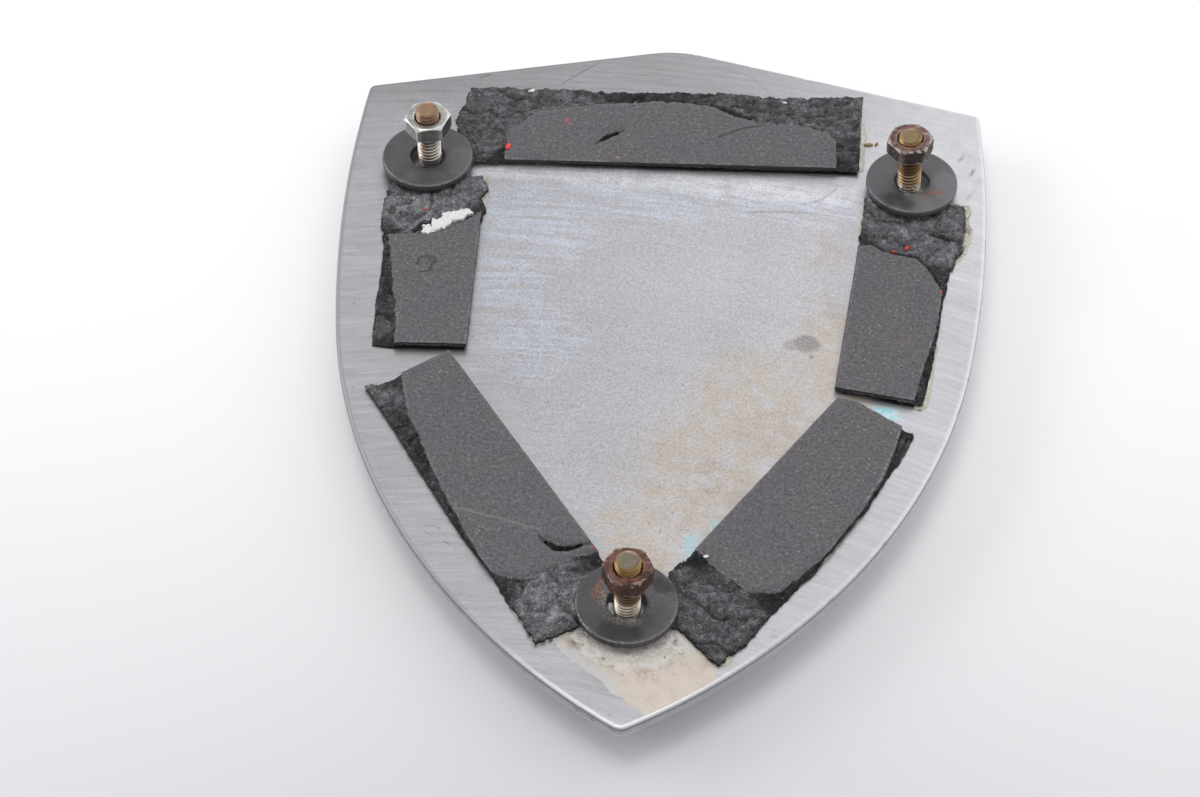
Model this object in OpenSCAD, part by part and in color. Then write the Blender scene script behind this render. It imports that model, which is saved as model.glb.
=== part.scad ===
// Shield-shaped car emblem, lying face down: a cast shield with an enamelled front,
// three screwed-in studs with their washers and nuts, and five strips of torn foam tape.
// Millimetres, +Z up. The front's bead stands on Z = 0 and the ground back faces up.
// X and Y are zero in the middle of the shield; its gable points to +Y, its tip to -Y.

/* [Shield outline] */
// Width across the widest level
shield_w = 105.8; // [102:0.2:112]
// Drop from the widest level to the tip, before the tip is rounded
tip_drop = 109.2; // [106:0.2:116]
// Rise from the widest level to the shoulder corners
shoulder_rise = 20.6; // [18:0.2:25]
// Rise of the gable from the shoulder corners to its ridge
gable_rise = 13; // [11:0.2:18]
// Radius of the long upper side curve
side_radius = 238; // [200:1:320]
// Turn of the side where the rounder lower curve takes over
side_turn = 8.6; // [6:0.1:11]
// Rounding of the two shoulder corners
corner_round = 1.2; // [0.6:0.1:2.5]
// Rounding of the ridge of the gable
ridge_round = 18; // [14:1:26]
// Rounding of the tip
tip_round = 2; // [1:0.1:4]

/* [Casting] */
// Thickness over all, from the front bead to the ground back
cast_t = 8; // [7.4:0.1:12]
// Height of the upright edge
edge_h = 2; // [1:0.1:3]
// Chamfer along the back edge
edge_chamfer = 0.35; // [0.1:0.05:0.8]
// Width of the sloping front border
border_w = 7; // [4:0.1:8.5]
// Land between the border and the bead
land_w = 0.6; // [0.2:0.1:1.5]
// Height of the front bead over the land
bead_h = 1; // [0.5:0.1:1.5]
// Width of the flat top of the front bead
bead_w = 2.5; // [1.5:0.1:3.5]
// Slope of the bead's outer side, measured across
bead_side = 0.4; // [0.1:0.1:0.8]
// Depth of the sunk field under the bead's top
field_depth = 2.2; // [1.7:0.1:2.8]
// Width of the rib that parts the two enamel panels
rib_w = 2.6; // [1.5:0.1:5]
// Distance of the rib from the gable's ridge
rib_drop = 46; // [40:0.5:60]
// Depth of the rib's top under the bead's top
rib_sink = 0.3; // [0.1:0.1:0.6]

/* [Enamel] */
// Thickness of the enamel
enamel_t = 1.5; // [0.6:0.1:1.6]
// Gap between the enamel and the walls round it
enamel_gap = 0.05; // [0.02:0.01:0.2]

/* [Studs] */
// Distance between the two upper studs
stud_spread = 79.5; // [76:0.5:81]
// Distance of their middle right of the shield's axis
stud_shift = 0.4; // [0:0.1:1]
// Height of the upper studs over the widest level
stud_rise = 1; // [-1:0.2:3]
// Distance from the upper studs down to the lower stud
stud_drop = 90; // [86:0.5:93]
// Distance of the lower stud left of the shield's axis
lower_shift = 0.25; // [0:0.05:0.6]
// Lean of the right stud towards the left one, where it is bent
right_lean = 3.6; // [0:0.2:5]
// Diameter of the studs over their threads
stud_d = 3.9; // [3:0.1:4.2]
// Chamfer on the tip of each stud
stud_chamfer = 0.35; // [0.1:0.05:0.6]
// Depth of the tapped holes
hole_depth = 4.1; // [2.5:0.1:4.4]
// Gap round a stud in its hole
hole_gap = 0.02; // [0.01:0.01:0.1]
// Height of the left stud above the back
left_proud = 13.3; // [12:0.1:18]
// Height of the right stud above the back
right_proud = 13; // [12:0.1:18]
// Height of the lower stud above the back
lower_proud = 12.9; // [12:0.1:18]

/* [Washers] */
// Outside diameter of the washers
washer_d = 15; // [12:0.1:16]
// Hole of the washers
washer_hole = 5.8; // [5.4:0.1:7]
// Thickness of the washers
washer_t = 1.2; // [0.8:0.1:1.6]
// Chamfer of the washers' rims
washer_chamfer = 0.2; // [0.1:0.05:0.35]
// Gap between the torn foam and a washer lying on it
washer_gap = 0.3; // [0.2:0.05:0.5]
// How far the left washer hangs off its stud, to the left
left_washer_off = 0.45; // [0:0.05:0.5]
// How far the right washer hangs off its stud, to the right
right_washer_off = 0.4; // [0:0.05:0.5]
// How far the lower washer hangs off its stud, to the left
lower_washer_off = 0.15; // [0:0.05:0.5]
// How far all three hang off their studs, towards the gable
washer_off_y = 0.4; // [0:0.05:0.4]

/* [Nuts] */
// Width of the nuts across flats
nut_af = 6.8; // [6.5:0.1:8]
// Height of the nuts
nut_h = 2.9; // [2.4:0.1:4]
// Radial gap between a nut's bore and its stud
nut_gap = 0.05; // [0.02:0.01:0.1]
// Chamfer at both ends of a nut's bore
nut_lead = 0.35; // [0.1:0.05:0.6]
// Width of the chamfer round a nut's faces, at the flats
nut_chamfer = 0.1; // [0.05:0.05:0.3]
// How much of the left stud stands above its nut
left_above = 1.45; // [0.1:0.05:3]
// How much of the right stud stands above its nut
right_above = 0.5; // [0.1:0.05:3]
// How much of the lower stud stands above its nut
lower_above = 1.35; // [0.1:0.05:3]
// Turn of the left nut
left_nut_turn = 12; // [-30:1:30]
// Turn of the right nut
right_nut_turn = 8; // [-30:1:30]
// Turn of the lower nut
lower_nut_turn = -2; // [-30:1:30]

/* [Tape] */
// Thickness of the adhesive under the foam
bond_t = 0.15; // [0.1:0.05:0.3]
// Thickness of the torn foam over the adhesive
foam_t = 1; // [0.8:0.05:2]
// Thickness of the whole face that is left on the foam
face_t = 0.45; // [0.3:0.05:0.8]
// Width of the four side strips
tape_w = 15.6; // [13:0.1:16]
// Width of the top strip
top_tape_w = 19; // [15:0.1:19.4]
// Length of the top strip
top_len = 69; // [60:0.5:70]
// Length of the left strip
left_len = 38; // [34:0.2:42]
// Length of the right strip
right_len = 43.4; // [38:0.2:46]
// Gap between the ends of neighbouring strips
strip_gap = 0.7; // [0.4:0.1:3]
// Gap between a strip and a stud
stud_keep = 0.6; // [0.3:0.1:1.2]
// Height of the top strip's middle over the upper studs
top_lift = 11.7; // [11:0.1:12.4]
// Distance of the top strip's middle left of the shield's axis
top_shift = 2.4; // [0:0.1:4]
// Turn of the top strip
top_turn = 2.1; // [0:0.1:3]
// Turn of the left strip
left_turn = 2.1; // [0:0.1:4]
// Turn of the right strip
right_turn = -7.5; // [-10:0.1:-5]
// Turn of the lower left strip
low_left_turn = 33.8; // [32:0.1:36]
// Turn of the lower right strip
low_right_turn = -32.7; // [-35:0.1:-31]
// Part of the left strip's width that lies left of its stud
left_side = 6.5; // [5:0.1:7.5]
// Part of the right strip's width that lies left of its stud
right_side = 6.2; // [5:0.1:7.5]
// Overhang of the lower left strip past the point where the lower strips meet
low_left_side = 1.3; // [0.5:0.1:2]
// Distance of the lower right strip from the same point
low_right_side = 0.6; // [0.2:0.1:1.5]
// Distance of the lower strips' ends from the same point
low_start = 1.2; // [0.6:0.1:2]

/* [Torn foam] */
// Depth of the uneven bites out of the torn edges
bite = 0.9; // [0.3:0.1:1.2]
// Width of the torn margin beside the faces
torn_margin = 2.6; // [1.3:0.1:3.5]
// Length of the torn foam next to a stud
torn_end = 12; // [11:0.5:15]
// Slant of the tears across the strips
tear_slant = 2.4; // [0:0.1:4]
// Length that is torn at the top strip's left end
top_torn = 9.5; // [6:0.5:14]
// Length that is torn at the top strip's right end
top_end_torn = 4.2; // [2:0.1:6]
// Width that is torn along the top strip's upper edge
top_edge_torn = 4.4; // [2:0.1:5.5]
// Width that is torn at the lower left strip's upper end
low_left_torn = 4.7; // [2:0.1:6]
// Width that is torn at the lower right strip's upper end
low_right_torn = 3.4; // [2:0.1:5]
// How far the right strip's tear runs on down its outer edge
right_tear = 7.2; // [3:0.1:9]
// Part of the top strip's lower left corner that is gone
corner_gone = 4; // [1:0.5:6]

/* [Residue] */
// Reach of the patch of old adhesive right of the shield's axis
residue_right = 12.7; // [9:0.1:14]
// Distance from the lower strips' meeting point down to the patch's slanted edge
residue_drop = 13.7; // [11:0.1:16]
// Slant of that edge
residue_slant = 38.7; // [34:0.1:42]
// Thickness of the patch
residue_t = 0.12; // [0.1:0.01:0.14]
// Margin between the patch and the shield's edge
residue_margin = 0.8; // [0.5:0.1:2]

/* [Hidden] */
$fn = 96;
eps = 0.01;
far = 300;
sharp = 0.1;
corner_steps = 5;
ridge_steps = 6;
long_steps = 9;
low_steps = 20;
bite_steps = 9;
bite_turn = 137;

// Side curves, from the widest level: a long arc above, a rounder one below it
long_c = [shield_w / 2 - side_radius, 0];
turn_dir = [cos(side_turn), -sin(side_turn)];
joint_pt = long_c + side_radius * turn_dir;
tip_way = [0, -tip_drop] - joint_pt;
low_radius = -(tip_way * tip_way) / (2 * (turn_dir * tip_way));
low_c = joint_pt - low_radius * turn_dir;

// Gable: a straight slope on each side of the ridge
shoulder_x = long_c[0] + sqrt(pow(side_radius, 2) - pow(shoulder_rise, 2));
slope = atan(gable_rise / shoulder_x);
slope_n = [sin(slope), cos(slope)];
slope_t = [cos(slope), -sin(slope)];
slope_d = slope_n[1] * (shoulder_rise + gable_rise);

// The widest level stands this far over the middle of the finished shield
ridge_y = (slope_d - ridge_round) / cos(slope) + ridge_round;
tip_y = low_c[1] - sqrt(pow(low_radius - tip_round, 2) - pow(low_c[0], 2)) - tip_round;
wide_y = -(ridge_y + tip_y) / 2;

// Levels and insets through the casting
back_z = cast_t;
foam_z = back_z + bond_t;
face_z = foam_z + foam_t;
bead_in = border_w + land_w;
field_in = bead_in + bead_side + bead_w;
rib_y = wide_y + ridge_y - rib_drop;

// Studs, and what is on them
stud_r = stud_d / 2;
stud_y = wide_y + stud_rise;
left_stud = [stud_shift - stud_spread / 2, stud_y];
right_stud = [stud_shift + stud_spread / 2, stud_y];
lower_stud = [-lower_shift, stud_y - stud_drop];
washer_z = face_z + washer_gap;

function dir_x(turn) = [cos(turn), sin(turn)];
function dir_y(turn) = [-sin(turn), cos(turn)];
function angle_of(v) = atan2(v[1], v[0]);
function arc(c, r, a0, a1, steps) =
    [for (i = [0 : steps]) let (a = a0 + (a1 - a0) * i / steps) c + r * [cos(a), sin(a)]];

// The strips' own frames: each side strip hangs from a stud and runs along its own Y
side_top = -(stud_r + stud_keep);
left_x = [-left_side, tape_w - left_side];
left_y = [side_top - left_len, side_top];
right_x = [-right_side, tape_w - right_side];
right_y = [side_top - right_len, side_top];
low_at = [0, lower_stud[1]];
low_left_x = [low_left_side - tape_w, low_left_side];
low_right_x = [low_right_side, low_right_side + tape_w];
top_mid = [-top_shift, stud_y + top_lift];
top_x = [-top_len / 2, top_len / 2];
top_y = [-top_tape_w / 2, top_tape_w / 2];

// Length of a lower strip whose inner corner stops one gap short of a side strip's end
function reach(turn, x, stud, side_turn, end) =
    (end - strip_gap - (low_at + x * dir_x(turn) - stud) * dir_y(side_turn))
    / (dir_y(turn) * dir_y(side_turn));
low_left_y = [low_start, reach(low_left_turn, low_left_x[1], left_stud, left_turn, left_y[0])];
low_right_y = [low_start, reach(low_right_turn, low_right_x[0], right_stud, right_turn, right_y[0])];

// Right half of the shield's outline, drawn in by an inset, from the ridge to the tip
function half_outline(inset) =
    let (rr = ridge_round - inset,
        rc = max(corner_round - inset, sharp),
        rt = max(tip_round - inset, sharp),
        ridge_c = [0, (slope_d - inset - rr) / cos(slope)],
        q = (slope_d - inset - rc) * slope_n - long_c,
        s = -q * slope_t + sqrt(pow(q * slope_t, 2) - q * q + pow(side_radius - inset - rc, 2)),
        corner_c = (slope_d - inset - rc) * slope_n + s * slope_t,
        corner_a = angle_of(corner_c - long_c),
        tip_c = [0, low_c[1] - sqrt(pow(low_radius - inset - rt, 2) - pow(low_c[0], 2))],
        tip_a = angle_of(tip_c - low_c))
    concat(arc(ridge_c, rr, 90, 90 - slope, ridge_steps),
        arc(corner_c, rc, 90 - slope, corner_a, corner_steps),
        [for (i = [1 : long_steps])
            let (a = corner_a - (corner_a + side_turn) * i / long_steps)
            long_c + (side_radius - inset) * [cos(a), sin(a)]],
        [for (i = [1 : low_steps - 1])
            let (a = -side_turn + (tip_a + side_turn) * i / low_steps)
            low_c + (low_radius - inset) * [cos(a), sin(a)]],
        arc(tip_c, rt, tip_a, -90, corner_steps));

module shield_outline(inset = 0) {
    half = half_outline(inset);
    translate([0, wide_y])
        polygon(concat(half, [for (i = [len(half) - 2 : -1 : 1]) [-half[i][0], half[i][1]]]));
}

// A slice of the shield whose wall slopes from one inset below to another above
module sloped_slice(z0, z1, inset0, inset1) {
    hull() {
        translate([0, 0, z0]) linear_extrude(eps) shield_outline(inset0);
        translate([0, 0, z1 - eps]) linear_extrude(eps) shield_outline(inset1);
    }
}

module straight_slice(z0, z1, inset) {
    translate([0, 0, z0]) linear_extrude(z1 - z0) shield_outline(inset);
}

// Cast shield: sloping border, bead, sunk field with a rib, ground back with tapped holes
module shield_casting() {
    color("silver") difference() {
        union() {
            sloped_slice(back_z - edge_chamfer - eps, back_z, 0, edge_chamfer);
            straight_slice(back_z - edge_h, back_z - edge_chamfer, 0);
            sloped_slice(bead_h, back_z - edge_h + eps, border_w, 0);
            sloped_slice(0, bead_h + eps, bead_in + bead_side, bead_in);
        }
        difference() {
            straight_slice(-1, field_depth, field_in);
            translate([-shield_w, rib_y - rib_w / 2, rib_sink]) cube([2 * shield_w, rib_w, cast_t]);
        }
        on_stud(left_stud) stud_hole();
        on_stud(right_stud, right_lean) stud_hole();
        on_stud(lower_stud) stud_hole();
    }
}

// Enamel lies on the field's floor, above or below the rib
module enamel(low_y, high_y) {
    intersection() {
        straight_slice(field_depth - enamel_t, field_depth, field_in + enamel_gap);
        translate([-shield_w, low_y, 0]) cube([2 * shield_w, high_y - low_y, cast_t]);
    }
}

module enamel_chief() {
    color("midnightblue") enamel(rib_y + rib_w / 2 + enamel_gap, rib_y + shield_w);
}

module enamel_base() {
    color("ivory") enamel(wide_y - 2 * tip_drop, rib_y - rib_w / 2 - enamel_gap);
}

// Frame of a stud: origin on the back, Z along the stud
module on_stud(at, lean = 0) {
    translate([at[0], at[1], back_z]) rotate([0, -lean, 0]) children();
}

module stud_hole() {
    translate([0, 0, -hole_depth]) cylinder(h = cast_t, r = stud_r + hole_gap);
}

// Stud screwed down to the floor of its hole
module stud(proud) {
    color("darkgoldenrod") {
        translate([0, 0, -hole_depth]) cylinder(h = hole_depth + proud - stud_chamfer, r = stud_r);
        translate([0, 0, proud - stud_chamfer])
            cylinder(h = stud_chamfer, r1 = stud_r, r2 = stud_r - stud_chamfer);
    }
}

module stud_left() { on_stud(left_stud) stud(left_proud); }
module stud_right() { on_stud(right_stud, right_lean) stud(right_proud); }
module stud_lower() { on_stud(lower_stud) stud(lower_proud); }

// Wide flat washer lying level on the foam, a little off its stud
module washer(at, off, lean = 0) {
    r = washer_d / 2;
    c = washer_chamfer;
    axis_x = at[0] - (washer_z - back_z) * tan(lean);
    color("dimgray") translate([axis_x + off, at[1] + washer_off_y, washer_z])
        rotate_extrude() polygon([[washer_hole / 2, 0], [r - c, 0], [r, c], [r, washer_t - c],
            [r - c, washer_t], [washer_hole / 2, washer_t]]);
}

module washer_left() { washer(left_stud, -left_washer_off); }
module washer_right() { washer(right_stud, right_washer_off, right_lean); }
module washer_lower() { washer(lower_stud, -lower_washer_off); }

// Hexagon nut, chamfered on both sides, its top face at a height over the back
module nut(top, turn, tint) {
    corner_r = nut_af / 2 / cos(30);
    flat_r = nut_af / 2 - nut_chamfer;
    wide_r = flat_r + nut_h / 2 / tan(30);
    bore_r = stud_r + nut_gap;
    color(tint) translate([0, 0, top - nut_h]) difference() {
        intersection() {
            rotate(turn) cylinder(h = nut_h, r = corner_r, $fn = 6);
            rotate_extrude() polygon([[0, 0], [flat_r, 0], [wide_r, nut_h / 2], [flat_r, nut_h],
                [0, nut_h]]);
        }
        translate([0, 0, -1]) cylinder(h = nut_h + 2, r = bore_r);
        translate([0, 0, nut_h - nut_lead])
            cylinder(h = nut_lead + eps, r1 = bore_r, r2 = bore_r + nut_lead);
        translate([0, 0, -eps]) cylinder(h = nut_lead + eps, r1 = bore_r + nut_lead, r2 = bore_r);
    }
}

module nut_left() { on_stud(left_stud) nut(left_proud - left_above, left_nut_turn, "lightgray"); }

module nut_right() {
    on_stud(right_stud, right_lean) nut(right_proud - right_above, right_nut_turn, "saddlebrown");
}

module nut_lower() { on_stud(lower_stud) nut(lower_proud - lower_above, lower_nut_turn, "sienna"); }

// Outline of a strip as it was cut, in its own frame
function cut_outline(x, y) = [[x[0], y[0]], [x[1], y[0]], [x[1], y[1]], [x[0], y[1]]];

// Edge from a to b with uneven bites to its left, where the foam tore away
function ragged(a, b, depth) =
    let (way = b - a, side = [-way[1], way[0]] / norm(way))
    [for (i = [0 : bite_steps])
        let (deep = i == 0 || i == bite_steps ? 0 : (1 - cos(bite_turn * i)) / 2)
        a + way * i / bite_steps + side * depth * deep];
function torn_left(x, y) =
    concat([[x[1], y[0]], [x[1], y[1]]], ragged([x[0], y[1]], [x[0], y[0]], bite));
function torn_right(x, y) =
    concat([[x[0], y[1]], [x[0], y[0]]], ragged([x[1], y[0]], [x[1], y[1]], bite));
function torn_top(x, y) =
    concat([[x[0] + corner_gone, y[0]], [x[1] - bite, y[0]]], ragged([x[1], y[1]], [x[0], y[1]], bite),
        ragged([x[0], y[1] - bite], [x[0] + corner_gone, y[0]], -bite / 2));

// Layer of an upper strip, in the strip's own frame
module layer(at, turn, z, t, tint) {
    color(tint) translate([at[0], at[1], z]) rotate(turn) linear_extrude(t) children();
}

// Layer of a lower strip, kept clear of the lower stud and of the other lower strip
module low_layer(turn, z, t, tint) {
    side = sign(turn);
    color(tint) difference() {
        translate([low_at[0], low_at[1], z]) rotate(turn) linear_extrude(t) children();
        translate([lower_stud[0], lower_stud[1], 0]) cylinder(h = 2 * face_z, r = stud_r + stud_keep);
        translate([-strip_gap / 2 - (side < 0 ? far : 0), low_at[1] - far, 0])
            cube([far + strip_gap, 2 * far, 2 * face_z]);
    }
}

// Adhesive under the foam, still as wide as the tape was cut
module bond_top() {
    layer(top_mid, top_turn, back_z, bond_t, "wheat") polygon(cut_outline(top_x, top_y));
}

module bond_left() {
    layer(left_stud, left_turn, back_z, bond_t, "wheat") polygon(cut_outline(left_x, left_y));
}

module bond_right() {
    layer(right_stud, right_turn, back_z, bond_t, "wheat") polygon(cut_outline(right_x, right_y));
}

module bond_low_left() {
    low_layer(low_left_turn, back_z, bond_t, "wheat") polygon(cut_outline(low_left_x, low_left_y));
}

module bond_low_right() {
    low_layer(low_right_turn, back_z, bond_t, "wheat")
        polygon(cut_outline(low_right_x, low_right_y));
}

// Foam that tore through, lower than the faces and bitten along its outer edge
module foam_top() {
    layer(top_mid, top_turn, foam_z, foam_t, "#2f2f31") polygon(torn_top(top_x, top_y));
}

module foam_left() {
    layer(left_stud, left_turn, foam_z, foam_t, "#2f2f31") polygon(torn_left(left_x, left_y));
}

module foam_right() {
    layer(right_stud, right_turn, foam_z, foam_t, "#2f2f31") polygon(torn_right(right_x, right_y));
}

module foam_low_left() {
    low_layer(low_left_turn, foam_z, foam_t, "#2f2f31") polygon(torn_left(low_left_x, low_left_y));
}

module foam_low_right() {
    low_layer(low_right_turn, foam_z, foam_t, "#2f2f31")
        polygon(torn_right(low_right_x, low_right_y));
}

// Faces of the foam that came off whole
module face_top() {
    x0 = top_x[0] + top_torn;
    x1 = top_x[1] - top_end_torn;
    y1 = top_y[1] - top_edge_torn;
    layer(top_mid, top_turn, face_z, face_t, "#4a4a4c")
        polygon(concat([[x0, top_y[0]], [x1, top_y[0]], [x1, y1 - 2 * bite]],
            ragged([x1 - torn_margin, y1], [x0, y1], bite)));
}

module face_left() {
    x0 = left_x[0] + torn_margin;
    tear_y = side_top - torn_end;
    layer(left_stud, left_turn, face_z, face_t, "#4a4a4c")
        polygon([[x0, left_y[0]], [left_x[1], left_y[0]], [left_x[1], tear_y + tear_slant],
            [x0, tear_y - tear_slant]]);
}

module face_right() {
    x1 = right_x[1] - torn_margin;
    tear_y = side_top - torn_end + tear_slant / 2;
    layer(right_stud, right_turn, face_z, face_t, "#4a4a4c")
        polygon([[right_x[0], right_y[0]], [x1, right_y[0]], [x1, tear_y - right_tear],
            [x1 - torn_margin, tear_y - tear_slant], [right_x[0] + tape_w / 2, tear_y],
            [right_x[0], tear_y]]);
}

module face_low_left() {
    x0 = low_left_x[0];
    layer(low_at, low_left_turn, face_z, face_t, "#4a4a4c")
        polygon([[low_left_x[1], torn_end], [low_left_x[1], low_left_y[1]],
            [x0 + low_left_torn, low_left_y[1]], [x0 + torn_margin / 2, torn_end + tear_slant],
            [x0 + torn_margin, torn_end + bite], [x0 + tape_w / 2, torn_end]]);
}

module face_low_right() {
    x1 = low_right_x[1];
    layer(low_at, low_right_turn, face_z, face_t, "#4a4a4c")
        polygon([[low_right_x[0], low_right_y[1]], [low_right_x[0], torn_end + tear_slant],
            [x1 - 2 * torn_margin, torn_end + bite], [x1 - torn_margin, torn_end + bite],
            [x1 - torn_margin / 2, torn_end + tear_slant], [x1 - low_right_torn, low_right_y[1]]]);
}

// Old adhesive between the lower strips' ends and the tip
module tip_residue() {
    start = low_start - strip_gap / 2;
    color("tan") difference() {
        intersection() {
            straight_slice(back_z, back_z + residue_t, residue_margin);
            translate([low_at[0], low_at[1] - residue_drop, back_z]) rotate(-residue_slant)
                translate([-far, 0, 0]) cube([2 * far, far, residue_t]);
            translate([residue_right - far, low_at[1] - far, back_z]) cube([far, 2 * far, residue_t]);
        }
        translate([low_at[0], low_at[1], 0])
            for (turn = [low_left_turn, low_right_turn])
                rotate(turn) translate([-far, start, 0]) cube([2 * far, far, 2 * back_z]);
        translate([lower_stud[0], lower_stud[1], 0]) cylinder(h = 2 * back_z, r = stud_r + stud_keep);
    }
}

shield_casting();
enamel_chief();
enamel_base();
stud_left();
stud_right();
stud_lower();
washer_left();
washer_right();
washer_lower();
nut_left();
nut_right();
nut_lower();
bond_top();
bond_left();
bond_right();
bond_low_left();
bond_low_right();
foam_top();
foam_left();
foam_right();
foam_low_left();
foam_low_right();
face_top();
face_left();
face_right();
face_low_left();
face_low_right();
tip_residue();
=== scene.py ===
import math
from functools import reduce

import bmesh
import bpy
import numpy as np
from mathutils import Matrix, Vector


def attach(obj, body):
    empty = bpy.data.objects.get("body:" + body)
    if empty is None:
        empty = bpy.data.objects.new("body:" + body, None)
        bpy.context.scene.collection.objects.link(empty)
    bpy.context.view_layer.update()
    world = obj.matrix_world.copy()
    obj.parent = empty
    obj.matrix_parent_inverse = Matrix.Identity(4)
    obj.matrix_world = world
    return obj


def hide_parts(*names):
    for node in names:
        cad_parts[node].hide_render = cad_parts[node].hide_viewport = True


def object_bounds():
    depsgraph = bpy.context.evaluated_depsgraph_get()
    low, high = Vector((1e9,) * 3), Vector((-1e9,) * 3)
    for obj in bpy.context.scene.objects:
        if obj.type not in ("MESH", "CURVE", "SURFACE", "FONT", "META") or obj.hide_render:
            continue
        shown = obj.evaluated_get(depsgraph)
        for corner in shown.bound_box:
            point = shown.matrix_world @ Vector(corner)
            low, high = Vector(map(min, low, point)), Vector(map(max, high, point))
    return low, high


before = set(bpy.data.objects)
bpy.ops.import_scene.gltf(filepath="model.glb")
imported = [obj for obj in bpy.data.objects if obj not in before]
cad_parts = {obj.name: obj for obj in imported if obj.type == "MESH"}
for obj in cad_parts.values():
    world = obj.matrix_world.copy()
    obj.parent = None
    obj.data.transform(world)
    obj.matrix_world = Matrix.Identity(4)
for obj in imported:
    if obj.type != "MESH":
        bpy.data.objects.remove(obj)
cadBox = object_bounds()
print("frame loaded with", len(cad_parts), "nodes")

mm = 0.001
scene = bpy.context.scene
scene.view_settings.view_transform = "Standard"


def placed(name, data):
    thing = bpy.data.objects.new(name, data)
    scene.collection.objects.link(thing)
    return thing


def aimed(name, data, at, target):
    thing = placed(name, data)
    thing.location = at
    thing.rotation_euler = (target - at).to_track_quat("-Z", "Y").to_euler()
    return thing


# places in part millimetres
cameraSetup = {"at": (13.9, -289.9, 328.8), "looksAt": (-7.34, -9.89, 8.0), "lens": 82.75, "sensor": 36.0,
               "near": 0.01, "far": 20}


def makeCamera(setup):
    data = bpy.data.cameras.new("photoCamera")
    data.lens, data.sensor_width = setup["lens"], setup["sensor"]
    data.clip_start, data.clip_end = setup["near"], setup["far"]
    scene.camera = aimed("photoCamera", data, Vector(setup["at"]) * mm, Vector(setup["looksAt"]) * mm)


makeCamera(cameraSetup)


# small helpers for shapes

def hashGrid(ix, iy, seed):
    h = (ix * 374761393 + iy * 668265263 + seed * 362437) & 0xFFFFFFFF
    h = ((h ^ (h >> 13)) * 1274126177) & 0xFFFFFFFF
    return ((h ^ (h >> 16)) & 0xFFFF) / 65535.0


def lumpy(x, y, size, seed, octaves=3):
    # soft noise from -1 to 1, with lumps of about that size in mm
    total, gain, weight = 0.0, 1.0, 0.0
    for k in range(octaves):
        u, v = x / size + 17.3 * k, y / size - 9.1 * k
        iu, iv = np.floor(u).astype(np.int64), np.floor(v).astype(np.int64)
        fu, fv = u - iu, v - iv
        fu, fv = fu * fu * (3 - 2 * fu), fv * fv * (3 - 2 * fv)
        low, high = (hashGrid(iu, row, seed) * (1 - fu) + hashGrid(iu + 1, row, seed) * fu
                     for row in (iv, iv + 1))
        total = total + gain * (2 * (low * (1 - fv) + high * fv) - 1)
        weight += gain
        gain, size = gain * 0.55, size * 0.5
    return total / weight


def smooth(low, high, value):
    t = np.clip((value - low) / (high - low), 0, 1)
    return t * t * (3 - 2 * t)


def toSide(x, y, start, end):
    # how far along the side from start to end the nearest point is, from 0 to 1, and its distance
    (ax, ay), (bx, by) = start[:2], end[:2]
    ex, ey = bx - ax, by - ay
    t = np.clip(((x - ax) * ex + (y - ay) * ey) / (ex * ex + ey * ey), 0, 1)
    return t, np.hypot(x - ax - t * ex, y - ay - t * ey)


def lineDistance(x, y, points):
    # distance to an open line, and how far along it the nearest point is, from 0 to 1
    best, along = np.full(np.shape(x), 1e9), np.zeros(np.shape(x))
    for i, side in enumerate(zip(points, points[1:])):
        t, d = toSide(x, y, *side)
        along = np.where(d < best, (i + t) / (len(points) - 1), along)
        best = np.minimum(best, d)
    return best, along


def outlineDistance(x, y, points):
    # signed distance to a closed outline, negative inside, and how ragged its nearest side is
    best, inside = np.full(x.shape, 1e9), np.zeros(x.shape, bool)
    weight, mixed = 0.0, 0.0
    for i, start in enumerate(points):
        end = points[(i + 1) % len(points)]
        d = toSide(x, y, start, end)[1]
        best = np.minimum(best, d)
        w = 1 / (d * d + 0.04) ** 2
        weight, mixed = weight + w, mixed + w * (start[2] if len(start) > 2 else 0)
        (ax, ay), (bx, by) = start[:2], end[:2]
        inside ^= ((ay > y) != (by > y)) & (x < (bx - ax) * (y - ay) / ((by - ay) or 1e-9) + ax)
    return np.where(inside, -best, best), mixed / weight


def setTag(mesh, tag, values):
    # a number for every point, which the finishes read by its name
    made = mesh.attributes.get(tag) or mesh.attributes.new(tag, "FLOAT", "POINT")
    made.data.foreach_set("value", np.broadcast_to(values, len(mesh.vertices)).astype(np.float32))


def finishMesh(name, verts, faces, look, node, sharp, tags=None, body="shield"):
    # verts in part millimetres, kept inside the object's own box
    mesh = bpy.data.meshes.new(name)
    mesh.from_pydata([tuple(v) for v in np.clip(np.asarray(verts) * mm, *cadBox)], [], faces)
    for tag, values in (tags or {}).items():
        setTag(mesh, tag, values)
    work = bmesh.new()
    work.from_mesh(mesh)
    bmesh.ops.recalc_face_normals(work, faces=work.faces)
    work.to_mesh(mesh)
    work.free()
    mesh.polygons.foreach_set("use_smooth", [True] * len(mesh.polygons))
    mesh.set_sharp_from_angle(angle=math.radians(sharp))
    mesh.materials.append(finishes[look])
    mesh.update()
    piece = placed(name, mesh)
    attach(piece, body)
    if node:
        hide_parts(node)
    return piece


def slopeOf(outline, x, y, h):
    # how much the outline's distance grows over twice h, across and along
    return outline(x + h, y) - outline(x - h, y), outline(x, y + h) - outline(x, y - h)


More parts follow.
